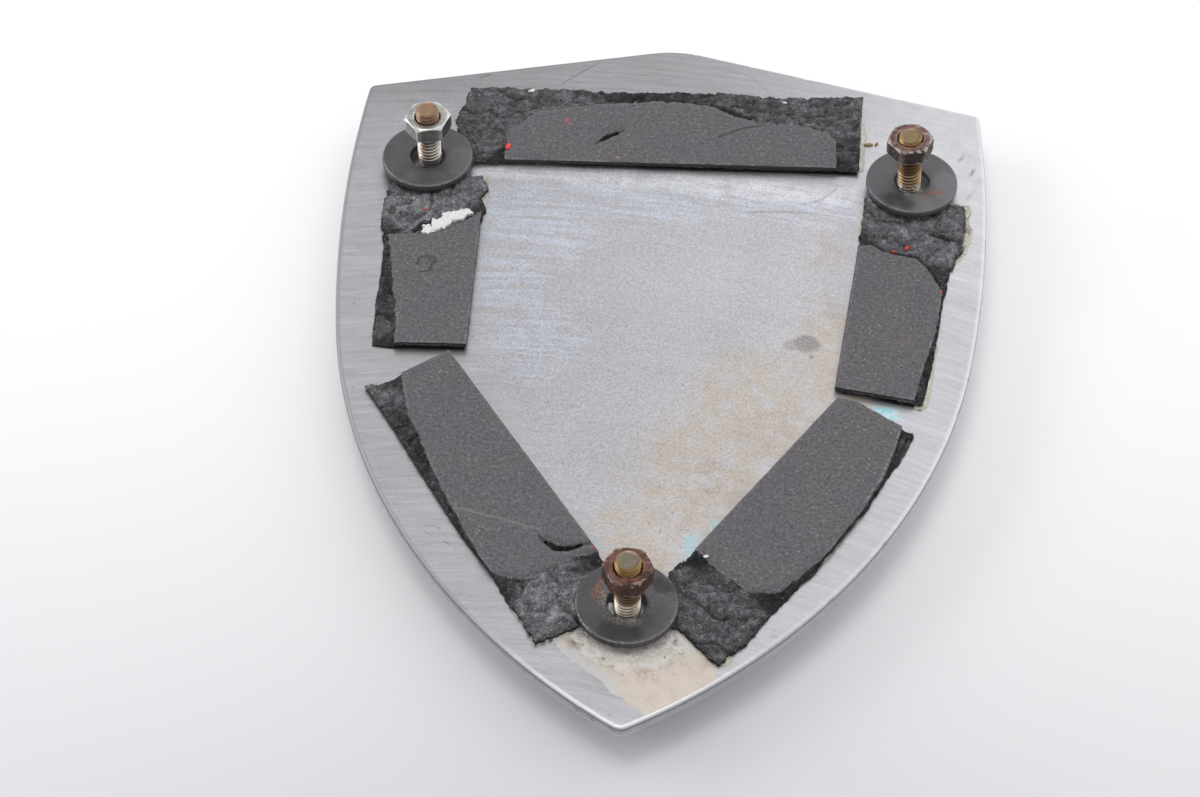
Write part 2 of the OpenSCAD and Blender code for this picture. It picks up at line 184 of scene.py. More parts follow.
def sheetShape(spread, cell, outline, top, floor):
    # a closed sheet on a fine grid: nodes near the outline move onto it, so its edge follows every tear
    x, y = np.meshgrid(*(np.arange(*ends, cell) for ends in (spread[:2], spread[2:])), indexing="ij")
    away = outline(x, y)
    near = np.abs(away) < 0.6 * cell
    for _ in range(3):
        h = 0.2 * cell
        gx, gy = (g / (2 * h) for g in slopeOf(outline, x, y, h))
        size = np.maximum(gx * gx + gy * gy, 0.3)
        step = np.clip(outline(x, y), -0.4 * cell, 0.4 * cell) / size
        x, y = x - np.where(near, step * gx, 0), y - np.where(near, step * gy, 0)
    kept = near | (away < 0)
    quads = kept[:-1, :-1] & kept[1:, :-1] & kept[1:, 1:] & kept[:-1, 1:]
    # a quad that hangs on by one corner would pinch the sheet
    pad = np.pad(quads, 1)
    quads &= (pad[:-2, 1:-1] | pad[2:, 1:-1]) & (pad[1:-1, :-2] | pad[1:-1, 2:])
    index = np.arange(x.size).reshape(x.shape)
    ring = np.stack([index[:-1, :-1], index[1:, :-1], index[1:, 1:], index[:-1, 1:]], -1)[quads]
    used, flat = np.unique(ring, return_inverse=True)
    ring = flat.reshape(ring.shape)
    px, py = x.ravel()[used], y.ravel()[used]
    inward = np.maximum(-outline(px, py), 0)
    low = floor(px, py) if callable(floor) else np.full(px.shape, floor)
    high = np.maximum(top(px, py, inward), low + 0.02)
    n = len(used)
    sides = np.concatenate([ring[:, [i, (i + 1) % 4]] for i in range(4)])
    code = set(map(tuple, sides.tolist()))
    rim = [s for s in code if (s[1], s[0]) not in code]
    faces = ring.tolist() + (ring[:, ::-1] + n).tolist() + [[b, a, a + n, b + n] for a, b in sorted(rim)]
    verts = np.concatenate([np.c_[px, py, high], np.c_[px, py, low]])
    return verts, faces, np.concatenate([inward, inward])


def after(ring):
    # for each point number of a ring, the next one round
    return [*ring[1:], ring[0]]


def bandFaces(first, second):
    return [[a, b, d, c] for a, b, c, d in zip(first, after(first), second, after(second))]


def ringFaces(rings, size, start=0, closed=False):
    # quads between rings of equal size, and from the last one back to the first where closed
    rows = [range(start + k * size, start + (k + 1) * size) for k in range(rings)]
    return sum((bandFaces(*pair) for pair in zip(rows, rows[1:] + rows[:closed])), [])


def fanFaces(ring, centre, swapped=False):
    return [[b, a, centre] if swapped else [a, b, centre] for a, b in zip(ring, after(ring))]


def turned(points, at, turn):
    c, s = math.cos(math.radians(turn)), math.sin(math.radians(turn))
    x, y = points[:, 0], points[:, 1]
    return np.c_[at[0] + x * c - y * s, at[1] + x * s + y * c, points[:, 2:]]


def blotch(x, y, spots, wild):
    # 1 inside soft patches given as (x, y, reach across, reach along), with wandering edges
    total = np.zeros(x.shape)
    for k, (cx, cy, rx, ry) in enumerate(spots):
        away = np.hypot((x - cx) / rx, (y - cy) / ry) + wild * lumpy(x, y, max(rx, ry) * 0.5, 11 + k)
        total = np.maximum(total, smooth(1.0, 0.45, away))
    return total


# small helpers for node trees

class Knot:
    # one output socket of a tree, with which sums are written as with numbers
    def __init__(self, tree, out):
        self.tree, self.out = tree, out

    def put(self, kind, inputs=None, settings=None, output=0):
        node = self.tree.nodes.new(kind)
        for key, value in (settings or {}).items():
            setattr(node, key, value)
        for key, value in (inputs or {}).items():
            if isinstance(value, Knot):
                self.tree.links.new(value.out, node.inputs[key])
            elif value is not None:
                node.inputs[key].default_value = value
        return Knot(self.tree, node.outputs[output])

    def sum(self, kind, other=None, swapped=False):
        return self.put("ShaderNodeMath", {int(swapped): self, int(not swapped): other}, {"operation": kind})

    def __add__(self, other): return self.sum("ADD", other)
    def __sub__(self, other): return self.sum("SUBTRACT", other)
    def __mul__(self, other): return self.sum("MULTIPLY", other)
    def __truediv__(self, other): return self.sum("DIVIDE", other)
    def __rsub__(self, other): return self.sum("SUBTRACT", other, True)
    def __abs__(self): return self.sum("ABSOLUTE")
    def least(self, other): return self.sum("MINIMUM", other)
    def most(self, other): return self.sum("MAXIMUM", other)

    def fade(self, low, high, fromValue=0.0, toValue=1.0):
        # one value below low, the other above high, soft between them
        return self.put("ShaderNodeMapRange", {0: self, 1: low, 2: high, 3: fromValue, 4: toValue},
                        {"interpolation_type": "SMOOTHSTEP"})

    def vector(self, kind, inputs, output=0):
        return self.put("ShaderNodeVectorMath", {0: self, **inputs}, {"operation": kind}, output)

    def apart(self, place): return self.vector("DISTANCE", {1: place}, 1)
    def scale(self, factor): return self.vector("SCALE", {"Scale": factor})
    def stretch(self, factors): return self.vector("MULTIPLY", {1: factors})
    def shift(self, other): return self.vector("ADD", {1: other})
    def part(self, index): return self.put("ShaderNodeSeparateXYZ", {0: self}, output=index)
    def join(self, y, z): return self.put("ShaderNodeCombineXYZ", {0: self, 1: y, 2: z})

    def noise(self, scale, detail=3.0, rough=0.55, warp=0.0, output=0):
        return self.put("ShaderNodeTexNoise", {"Vector": self, "Scale": scale, "Detail": detail,
                                               "Roughness": rough, "Distortion": warp}, output=output)

    def cells(self, scale):
        return self.put("ShaderNodeTexVoronoi", {"Vector": self, "Scale": scale})

    def over(self, *layers):
        # this colour with others laid over it, each one given with how far it shows
        base = self
        for colour, share in layers:
            base = base.put("ShaderNodeMix", {0: share, 6: base, 7: (*colour, 1)}, {"data_type": "RGBA"}, 2)
        return base

    def ramp(self, stops):
        knot = self.put("ShaderNodeValToRGB", {0: self})
        elements = knot.out.node.color_ramp.elements
        while len(elements) < len(stops):
            elements.new(0.5)
        for element, (place, colour) in zip(elements, stops):
            element.position, element.color = place, (*colour, 1)
        return knot


def growingTree(name, sockets, build):
    # a Geometry Nodes tree with named inputs; build gets them and returns a geometry and its material
    tree = bpy.data.node_groups.new(name, "GeometryNodeTree")
    tree.interface.new_socket("Geometry", in_out="OUTPUT", socket_type="NodeSocketGeometry")
    for title, kind in sockets.items():
        tree.interface.new_socket(title, in_out="INPUT", socket_type=f"NodeSocket{kind}")
    inlet = tree.nodes.new("NodeGroupInput")
    grown, metal = build({title: Knot(tree, inlet.outputs[title]) for title in sockets})
    real = grown.put("GeometryNodeRealizeInstances", {"Geometry": grown})
    painted = real.put("GeometryNodeSetMaterial", {"Geometry": real, "Material": metal})
    tree.links.new(painted.out, tree.nodes.new("NodeGroupOutput").inputs[0])
    return tree


def grownMesh(name, start, tree, values):
    # what a node tree grows from a mesh, as a plain mesh
    holder = placed(name, start)
    grower = holder.modifiers.new("grow", "NODES")
    grower.node_group = tree
    for item in tree.interface.items_tree:
        if item.in_out == "INPUT" and item.name in values:
            grower[item.identifier] = values[item.name]
    bpy.context.view_layer.update()
    mesh = bpy.data.meshes.new_from_object(holder.evaluated_get(bpy.context.evaluated_depsgraph_get()))
    holder.modifiers.remove(grower)
    bpy.data.objects.remove(holder)
    bpy.data.meshes.remove(start)
    return mesh


class Finish:
    # a material: Principled shader, object coordinates in millimetres, and what feeds it
    def __init__(self, name, **fixed):
        self.material = bpy.data.materials.new(name)
        self.material.use_nodes = True
        self.tree = self.material.node_tree
        self.shader = self.tree.nodes["Principled BSDF"]
        for key, value in fixed.items():
            self.shader.inputs[key.replace("_", " ")].default_value = value
        where = self.tree.nodes.new("ShaderNodeTexCoord")
        self.at = Knot(self.tree, where.outputs["Object"]).stretch((1 / mm, 1 / mm, 1 / mm))

    def tag(self, name):
        return self.at.put("ShaderNodeAttribute", settings={"attribute_name": name}, output=2)

    def tags(self, names):
        return [self.tag(name) for name in names.split()]

    def noises(self, *settings):
        return [self.at.noise(*each) for each in settings]

    def specks(self, cell, far, near, field, low, high):
        # small round spots, only where a broad noise lets them show
        return self.at.cells(cell).fade(far, near) * self.at.noise(field, 2).fade(low, high)

    def even(self, value):
        node = self.tree.nodes.new("ShaderNodeRGB")
        node.outputs[0].default_value = (*value, 1)
        return Knot(self.tree, node.outputs[0])

    def feed(self, **links):
        for key, value in links.items():
            self.tree.links.new(value.out, self.shader.inputs[key.replace("_", " ")])

    def bumps(self, *layers):
        # each layer is (height, strength, distance in mm); this ends a finish
        normal = None
        for height, strength, reach in layers:
            normal = self.at.put("ShaderNodeBump", {"Strength": strength, "Distance": reach * mm,
                                                    "Height": height, "Normal": normal})
        self.feed(Normal=normal)
        return self.material

    def mark(self, start, end, bend, width):
        # 1 along a thin curved line on the back; bend is how far its middle swings out
        (ax, ay), (bx, by) = (end, start) if bend < 0 else (start, end)
        bend = abs(bend)
        chord = math.hypot(bx - ax, by - ay)
        reach = (chord ** 2 / 4 + bend ** 2) / (2 * bend)
        middle = ((ax + bx) / 2, (ay + by) / 2, 0)
        aside = (reach - bend) / chord
        centre = (middle[0] + (by - ay) * aside, middle[1] - (bx - ax) * aside, 0)
        flat = self.at.stretch((1, 1, 0))
        away = abs(flat.apart(centre) - reach)
        return away.fade(width, width * 0.3) * flat.apart(middle).fade(chord * 0.52, chord * 0.36)

    def wall(self):
        # 1 on upright sides, 0 on level ones
        return self.at.put("ShaderNodeNewGeometry", output=1).part(2).fade(0.75, 0.35)


print("helpers ready")

# finishes

# start, end, swing, width, how strong
backMarks = [((-19.8, 60.6), (-13, 67.4), 0.12, 0.22, 0.45), ((12.4, 66), (17.6, 59.9), 0.1, 0.16, 0.2),
    ((22.2, 35), (28.6, 40.1), -1.1, 0.34, 0.3), ((12.8, 32.3), (25.4, 33), 0.35, 0.22, 0.4),
    ((10.8, 33.9), (15.2, 33.4), 0.1, 0.2, 0.3), ((26.4, 38.4), (27.8, 37.5), -0.2, 0.2, 0.2),
    ((-33.6, 61.5), (-31.7, 62.6), 0.05, 0.26, 0.5), ((-31.6, -37), (-29.8, -36.7), 0.04, 0.16, 0.4),
    ((-31.6, -38), (-30.2, -38.6), 0.04, 0.16, 0.35), ((-29.9, -36.8), (-28.9, -37.5), 0.04, 0.15, 0.4),
    ((-28.4, -39.6), (-27.2, -40.2), 0.04, 0.18, 0.45)]

# centre, half sizes and how strong, of the dark smudge on the right
smudgeSpots = [(24.2, 3.8, 2.3, 2.0, 1.0), (22.0, 3.5, 1.8, 1.2, 0.65), (25.0, 1.3, 0.5, 0.55, 0.8)]


def tinted(colour, factor):
    return tuple(v * factor for v in colour)


def groundMetal():
    f = Finish("groundAlloy", Metallic=1.0)
    matte, edge, warm, stain, white, green, dirt, blue = f.tags("matte edge warm stain white green dirt blue")
    at, x, y, z = f.at, *(f.at.part(i) for i in range(3))
    # the grinding runs in wide arcs round a far centre
    arc = at.stretch((1, 1, 0)).apart((-20, -180, 0)) + at.noise(0.05, 2) * 2.0
    strokes = (x * 0.05).join(arc * 1.1, z * 0.4).noise(1.0, 5, 0.6)
    fine = (x * 0.22).join(arc * 4.6, z * 0.4).noise(1.0, 4, 0.7)
    clouds, patches, hue = f.noises((0.05, 3, 0.5), (0.35, 4, 0.65), (0.11, 4, 0.6))
    grain, dust = f.noises((2.4, 4, 0.8), (4.5, 2, 0.7))
    smudge = []
    for cx, cy, rx, ry, share in smudgeSpots:
        away = at.stretch((1 / rx, 1 / ry, 0)).apart((cx / rx, cy / ry, 0)) + (patches - 0.5) * 1.2
        smudge.append(away.fade(1.15, 0.6) * share)
    smudge = reduce(Knot.most, smudge)
    base = f.even((0.515, 0.518, 0.53)).over(
        ((0.53, 0.519, 0.546), (hue + (strokes - 0.5) * 0.4).fade(0.42, 0.58)),
        ((0.478, 0.47, 0.488), matte * 0.85),
        # bluish patches: a painted reflection on the bare metal
        ((0.545, 0.58, 0.66), blue * (patches * 0.4 + strokes * 0.6).fade(0.4, 0.6) * 0.8),
        ((0.482, 0.427, 0.364), warm * patches.fade(0.25, 0.62) * 0.8),
        ((0.7, 0.71, 0.75), white * (patches * 0.6 + strokes * 0.4).fade(0.3, 0.6) * 0.7),
        ((0.36, 0.285, 0.22), stain * dust.fade(0.42, 0.6) * patches.fade(0.3, 0.7) * 0.75),
        ((0.33, 0.26, 0.18), warm * dust.fade(0.58, 0.7) * 0.4),
        ((0.2, 0.175, 0.175), smudge * dust.fade(0.34, 0.6, 0.3, 1.0) * 0.85))
    # how light each place is: calmer grinding in the two upper corners, then painted light and shade, paler
    # to the right and in a few patches, darker at the foot and along the top rim
    rim = 1 - matte
    calm = abs(x).fade(20, 42) * y.fade(22, 48) * x.fade(-10, 10, 0.5, 1.0)
    tone = (strokes - 0.5) * (rim * 0.3 + 0.14 - calm * 0.2) + (fine - 0.5) * (rim * 0.36 + 0.2 - calm * 0.3)
    tone = tone + (clouds - 0.5) * 0.2 + (patches - 0.5) * calm * 0.4
    tone = tone + (grain - 0.5) * (matte * 1.0 + 0.4) + (dust - 0.5) * matte * 0.45
    # painted light: paler to the right, the upper right, the left middle and the lower middle
    tone = tone + x.fade(-52, 50, 0.89, 1.08)
    tone = tone + (y.fade(5, 34) * 0.15 - 0.045) * x.fade(28, 48) + y.fade(-20, -36) * matte * 0.09
    tone = tone + y.fade(44, 24) * x.fade(-4, -20) * y.fade(8, 28) * 0.05
    # painted shade: darker towards the foot and along the top rim
    base = base.scale(tone * y.fade(-75, 20, 0.885, 1.02) * (1 - y.fade(46, 63) * x.fade(52, 0, 0.05, 0.26)))
    pits = f.specks(0.5, 0.13, 0.04, 0.1, 0.5, 0.64)
    lines = reduce(Knot.most, [f.mark(*shape) * share for *shape, share in backMarks]) * fine.fade(0.2, 0.5)
    # the small chamfer gets a painted highlight on the right and more at the tip, and painted shade on the
    # left; painted shade lines run under it on the side wall, with a painted highlight line lower down
    paintedChamferHighlight = edge * (x.fade(10, 45) * 0.35).most(y.fade(-52, -68) * 0.85)
    base = base.over(
        ((0.15, 0.66, 0.73), green * grain.fade(0.38, 0.54) * 0.95),
        ((0.74, 0.84, 0.86), green * patches.fade(0.46, 0.58) * 0.6),
        ((0.12, 0.11, 0.11), (pits * 0.5).most(dirt * grain.fade(0.42, 0.56)).most(lines)),
        ((0.74, 0.74, 0.755), paintedChamferHighlight * z.fade(7.74, 7.86) * 0.9),
        ((0.3, 0.3, 0.31), edge * x.fade(5, -20) * y.fade(-64, -48) * 0.75),
        ((0.25, 0.24, 0.24), z.fade(7.8, 7.72) * z.fade(7.5, 7.6) * 0.75),
        ((0.17, 0.15, 0.14), z.fade(7.25, 7.38) * z.fade(7.62, 7.5) * grain.fade(0.35, 0.55) * 0.8),
        ((0.85, 0.85, 0.86), z.fade(5.9, 6.1) * z.fade(6.55, 6.3) * 0.7))
    dull = (white * 0.4).most(warm * 0.3).most(stain * 0.5).most(dirt * 0.8).most(green).most(smudge * 0.5)
    rough = (fine - 0.5) * 0.2 + matte * 0.12 + 0.37 + edge * x.fade(30, -20) * 0.2
    f.feed(Base_Color=base, Metallic=1 - dull, Roughness=rough + (grain - 0.5) * matte * 0.2)
    return f.bumps((strokes, 0.2, 0.05), (fine, 0.35, 0.02), (grain, 0.3, 0.04))


def castingFront():
    f = Finish("platedFront", Metallic=1.0)
    cloud, pits = f.at.noise(0.08, 3), f.specks(0.7, 0.18, 0.04, 0.1, 0.45, 0.6)
    base = f.even((0.66, 0.66, 0.68)).over(((0.5, 0.49, 0.48), cloud.fade(0.45, 0.75) * 0.6),
                                           ((0.12, 0.11, 0.1), pits * 0.8))
    f.feed(Base_Color=base, Roughness=cloud.fade(0.3, 0.8, 0.1, 0.24) + pits * 0.5)
    return f.bumps((pits, -0.5, 0.05), (f.at.noise(0.35, 4), 0.08, 0.2))


def enamelFinish(name, colour, dark):
    f = Finish(name, Roughness=0.14, IOR=1.52)
    cloud, bubbles = f.at.noise(0.12, 4, 0.6), f.specks(1.4, 0.14, 0.05, 0.25, 0.5, 0.62)
    base = f.even(colour).over((dark, cloud.fade(0.35, 0.75) * 0.5), ((0.04, 0.03, 0.02), bubbles * 0.7))
    f.feed(Base_Color=base, Roughness=cloud.fade(0.3, 0.8, 0.08, 0.2) + bubbles * 0.4)
    return f.bumps((f.at.noise(0.5, 2), 0.12, 0.12), (bubbles, -0.5, 0.04))


def threadMetal(name, dull, bright, root, tip, tipLow, rust, foot, gloom):
    # the crests are worn bright and carry a painted highlight, the roots stay dark, the foot down in the
    # washer's hole gets painted shade, and the sawn tip has its own tone
    f = Finish(name, Metallic=1.0)
    depth, high, under, low = f.tags("depth high under foot")
    mottle, spots = f.noises((0.45, 3, 0.5), (1.6, 3, 0.6))
    base = f.even(dull).over(
        (bright, depth.fade(0.45, 0.85) * mottle.fade(0.15, 0.5)),
        (tipLow, mottle.fade(0.52, 0.66) * 0.6),
        (root, depth.fade(0.45, 0.1) * 0.95),
        ((0.125, 0.072, 0.042), under * mottle.fade(0.2, 0.5, 0.7, 1.0) * rust),
        ((0.6, 0.58, 0.54), low * spots.fade(0.42, 0.55) * foot),
        ((0.035, 0.031, 0.029), low * gloom),
        (tipLow, high.fade(0.15, 0.4) * 0.85),
        (tip, high.fade(0.9, 0.98) * mottle.fade(0.1, 0.5, 0.75, 1.0)),
        (root, spots.fade(0.62, 0.72) * 0.25))
    f.feed(Base_Color=base, Roughness=spots.fade(0.2, 0.8, 0.3, 0.42))
    return f.material


def washerSteel():
    f = Finish("blackenedSteel", Metallic=0.6)
    worn, ring, rust, dust, pale, gloom = f.tags("worn ring rust dust pale gloom")
    mottle, fine = f.noises((0.35, 4, 0.6), (2.6, 4, 0.7))
    # pale carries the washer's tone and a painted sheen, the dark spots are painted shade, and the worn rim
    # has a painted highlight
    base = f.even((0.064, 0.062, 0.066)).over(
        ((0.092, 0.09, 0.096), mottle.fade(0.3, 0.75) * 0.8),
        ((0.2, 0.194, 0.202), pale * mottle.fade(0.2, 0.7, 0.7, 1.0)),
        ((0.135, 0.13, 0.135), fine.fade(0.55, 0.75) * 0.4)).scale(1 - gloom * 0.42).over(
        ((0.36, 0.36, 0.37), worn * fine.fade(0.38, 0.6) * (0.8 - pale)),
        ((0.2, 0.18, 0.155), ring * fine.fade(0.42, 0.62) * 0.6),
        ((0.34, 0.31, 0.26), dust * fine.fade(0.45, 0.62) * 0.7),
        ((0.33, 0.12, 0.045), rust * fine.fade(0.4, 0.58) * 0.8),
        ((0.45, 0.43, 0.38), f.specks(1.1, 0.12, 0.05, 0.3, 0.55, 0.62) * 0.7))
    dull = (rust + dust + ring * 0.5).least(1.0)
    f.feed(Base_Color=base, Metallic=0.6 - dull * 0.5,
           Roughness=mottle.fade(0.2, 0.8, 0.46, 0.56) + dull * 0.25 - worn * 0.1)
    return f.bumps((fine, 0.14, 0.03), (mottle, 0.1, 0.06))


def nutFinish(name, plate, rust, rustShare, bright, shineShare, gloom, seed):
    f = Finish(name, Metallic=1.0)
    edge, inner, halo = f.tags("edge inner halo")
    at = f.at.shift((seed * 7.3, seed * 3.1, 0))
    broad, mottle, fine = at.noise(0.32, 3, 0.6), at.noise(0.9, 4, 0.65), at.noise(2.6, 4, 0.7)
    crust = (broad * 0.4 + mottle * 0.35 + fine * 0.25).fade(0.62 - rustShare * 0.25, 0.67 - rustShare * 0.25)
    scraped = at.stretch((0.35, 2.2, 0.6)).noise(1.1, 3, 0.6).fade(0.63, 0.68) * (1 - inner)
    shine = edge.fade(0.2, 0.9) * mottle.fade(0.6 - shineShare * 0.4, 0.72 - shineShare * 0.4)
    shine = (shine * fine.fade(0.35, 0.5)).most(scraped * 0.6)
    # painted shade on the upright sides and in the bore; the bright edges and scrapes are wear
    base = f.even(plate).over(
        (tinted(plate, 0.55), (fine * 0.45 + mottle * 0.55).fade(0.46, 0.58) * 0.8),
        (rust, crust),
        (tinted(rust, 0.3), crust * broad.fade(0.48, 0.58) * 0.75),
        (tinted(rust, 1.9), crust * mottle.fade(0.5, 0.62) * fine.fade(0.35, 0.5) * 0.7),
        (tinted(rust, 2.2), halo * mottle.fade(0.35, 0.5) * rustShare),
        (tinted(plate, 0.2), f.wall() * (1 - edge) * gloom),
        (bright, shine),
        (tinted(plate, 0.3), inner * 0.6))
    f.feed(Base_Color=base, Metallic=1 - crust * 0.7 * (1 - shine),
           Roughness=crust.fade(0, 1, 0.34, 0.6) - shine * 0.15)
    return f.bumps((crust, 0.3, 0.05), (fine, 0.22, 0.04))


def tornFoam():
    f = Finish("tornFoam", Roughness=0.9)
    edge, deep, lift, slit = f.tags("edge deep lift slit")
    lumps, fibres, grains = f.noises((0.8, 5, 0.72, 0.5), (2.3, 4, 0.75, 1.2), (5.5, 3, 0.75))
    # the foam's own mottling, with painted shade where the foam lies low and in the bands beside the face
    tone = lumps * 0.29 + fibres * 0.35 + grains * 0.28 + lift * 0.13 - deep * 0.09
    fissures = abs(f.at.noise(0.55, 3, 0.6, 1.5) - 0.5).fade(0.028, 0.004)
    base = tone.ramp([(0.41, (0.012, 0.012, 0.013)), (0.48, (0.056, 0.053, 0.058)),
                      (0.545, (0.13, 0.125, 0.135)), (0.61, (0.27, 0.265, 0.28)), (0.68, (0.5, 0.49, 0.5))])
    f.feed(Base_Color=base.over(
        ((0.014, 0.014, 0.015), fissures * fibres.fade(0.42, 0.55) * 0.75),
        ((0.17, 0.13, 0.085), edge.fade(0.9, 0.0) * lumps.fade(0.5, 0.62) * (1 - deep) * 0.4),
        ((0.36, 0.35, 0.36), f.at.cells(2.6).fade(0.17, 0.06) * fibres.fade(0.5, 0.6) * (1 - deep) * 0.7),
        # painted shade on the upright cut sides and in the slits
        ((0.016, 0.016, 0.017), f.wall().most(slit) * 0.75)))
    return f.bumps((lumps, 0.7, 0.5), (fibres, 0.8, 0.3), (grains, 0.7, 0.12))


def foamFace():
    f = Finish("foamFace", Roughness=0.74)
    edge, scratch, slit = f.tags("edge scratch slit")
    grains, fine, clouds = f.noises((1.9, 4, 0.8), (4.4, 3, 0.7), (0.09, 3))
    # lighter along the torn edges: frayed fibres with a painted edge highlight
    frayedAndEdgeHighlight = edge.fade(0.45, 0.1) * fine.fade(0.42, 0.6) * f.at.noise(0.3, 3).fade(0.45, 0.6)
    f.feed(Base_Color=f.even((0.1, 0.096, 0.105)).over(
        ((0.108, 0.101, 0.102), clouds.fade(0.4, 0.7)),
        ((0.046, 0.044, 0.048), grains.fade(0.5, 0.36) * 0.8),
        ((0.23, 0.224, 0.238), grains.fade(0.54, 0.68) * 0.7),
        ((0.46, 0.45, 0.47), fine.fade(0.62, 0.71) * 0.6),
        ((0.4, 0.39, 0.4), f.at.cells(0.95).fade(0.14, 0.06) * clouds.fade(0.35, 0.6, 0.2, 0.75)),
        ((0.27, 0.265, 0.27), frayedAndEdgeHighlight * 0.7),
        ((0.16, 0.13, 0.1), f.at.noise(0.13, 4).fade(0.58, 0.75) * 0.22),
        ((0.38, 0.36, 0.33), scratch * fine.fade(0.35, 0.55) * 0.55),
        # painted shade in the slits and creases and on the upright cut sides
        ((0.018, 0.017, 0.018), slit * 0.8),
        ((0.02, 0.02, 0.021), f.wall() * 0.85)))
    return f.bumps((grains, 0.3, 0.06), (fine, 0.3, 0.04))


def dryAdhesive(name, pale, dark, white):
    f = Finish(name, Roughness=0.6)
    crust, brown, faint = f.tags("crust brown faint")
    mottle, fine = f.noises((0.6, 5, 0.65), (2.8, 4, 0.7))
    cracks = f.at.shift(f.at.noise(0.8, 3, output=1)).put(
        "ShaderNodeTexVoronoi", {"Scale": 0.75}, {"feature": "DISTANCE_TO_EDGE"})
    base = f.even(pale).over(
        (dark, mottle.fade(0.42, 0.78) * 0.8),
        (white, crust * (fine * 0.5 + mottle * 0.5).fade(0.36, 0.58)),
        ((0.5, 0.46, 0.4), crust * f.at.noise(1.3, 4, 0.7, 0.6).fade(0.48, 0.58) * 0.75),
        ((0.12, 0.09, 0.07), crust * cracks.fade(0.1, 0.02) * mottle.fade(0.4, 0.55) * 0.85),
        ((0.4, 0.29, 0.21), brown * fine.fade(0.42, 0.62) * 0.7),
        ((0.54, 0.54, 0.55), faint * mottle.fade(0.3, 0.6, 0.7, 1.0) * 0.95),
        ((0.16, 0.1, 0.06), f.at.cells(0.8).fade(0.12, 0.04) * mottle.fade(0.4, 0.6) * 0.8))
    f.feed(Base_Color=base, Roughness=mottle.fade(0.2, 0.8, 0.45, 0.7))
    return f.bumps((mottle, 0.3, 0.12), (fine, 0.4, 0.08))


def plainPaint(name, colour, dark):
    f = Finish(name, Roughness=0.5)
    f.feed(Base_Color=f.even(colour).over((dark, f.at.noise(2.0, 4, 0.7).fade(0.4, 0.7) * 0.6)))
    return f.bumps((f.at.noise(3.0, 3), 0.4, 0.05))


finishes = {
    "back": groundMetal(), "front": castingFront(),
    "chief": enamelFinish("deepBlueEnamel", (0.012, 0.03, 0.13), (0.006, 0.012, 0.06)),
    "base": enamelFinish("creamEnamel", (0.72, 0.68, 0.56), (0.62, 0.56, 0.43)),
    "studLeft": threadMetal("studMetalLeft", (0.36, 0.33, 0.3), (0.8, 0.78, 0.74), (0.1, 0.065, 0.045),
                            (0.36, 0.235, 0.145), (0.25, 0.14, 0.085), 0.35, 0.3, 0.85),
    "studRight": threadMetal("studMetalRight", (0.22, 0.15, 0.09), (0.48, 0.35, 0.21), (0.07, 0.045, 0.028),
                             (0.275, 0.205, 0.12), (0.34, 0.21, 0.09), 0.9, 0.8, 0.2),
    "studLower": threadMetal("studMetalLower", (0.38, 0.33, 0.27), (0.88, 0.82, 0.71), (0.08, 0.05, 0.03),
                             (0.195, 0.17, 0.122), (0.34, 0.21, 0.085), 0.95, 0.2, 0.1),
    "washer": washerSteel(),
    "nutLeft": nutFinish("zincNut", (0.5, 0.505, 0.475), (0.3, 0.27, 0.23), 0.2,
                         (0.8, 0.8, 0.76), 0.9, 0.62, 1),
    "nutRight": nutFinish("rustyNut", (0.25, 0.2, 0.18), (0.115, 0.06, 0.047), 0.78,
                          (0.6, 0.55, 0.51), 0.5, 1.0, 2),
    "nutLower": nutFinish("darkNut", (0.17, 0.11, 0.09), (0.11, 0.045, 0.032), 0.85,
                          (0.55, 0.45, 0.4), 0.3, 0.4, 3),
    "torn": tornFoam(), "face": foamFace(),
    "bond": dryAdhesive("tapeAdhesive", (0.47, 0.45, 0.35), (0.33, 0.3, 0.2), (0.76, 0.75, 0.69)),
    "residue": dryAdhesive("driedPatch", (0.605, 0.537, 0.472), (0.5, 0.43, 0.36), (0.69, 0.675, 0.655)),
    "white": plainPaint("whiteCrust", (0.74, 0.74, 0.75), (0.5, 0.5, 0.5)),
    "red": plainPaint("redFleck", (0.75, 0.05, 0.02), (0.5, 0.04, 0.02)),
    "tan": plainPaint("tanFleck", (0.36, 0.23, 0.12), (0.2, 0.12, 0.06)),
}
print("finishes ready:", len(finishes))

# the shield: one skin lofted through rings that follow its outline

shieldForm = {"width": 105.8, "tipDrop": 109.2, "shoulderRise": 20.6, "gableRise": 13.0, "sideRadius": 238.0,
              "sideTurn": 8.6, "cornerRound": 1.2, "ridgeRound": 18.0, "tipRound": 2.0, "back": 8.0,
              "heart": (0.0, 12.0), "fieldFloor": 2.2, "rings": 66}


def arcPoints(centre, radius, start, end, steps):
    a = np.radians(np.linspace(start, end, steps))
    return np.asarray(centre) + radius * np.c_[np.cos(a), np.sin(a)]


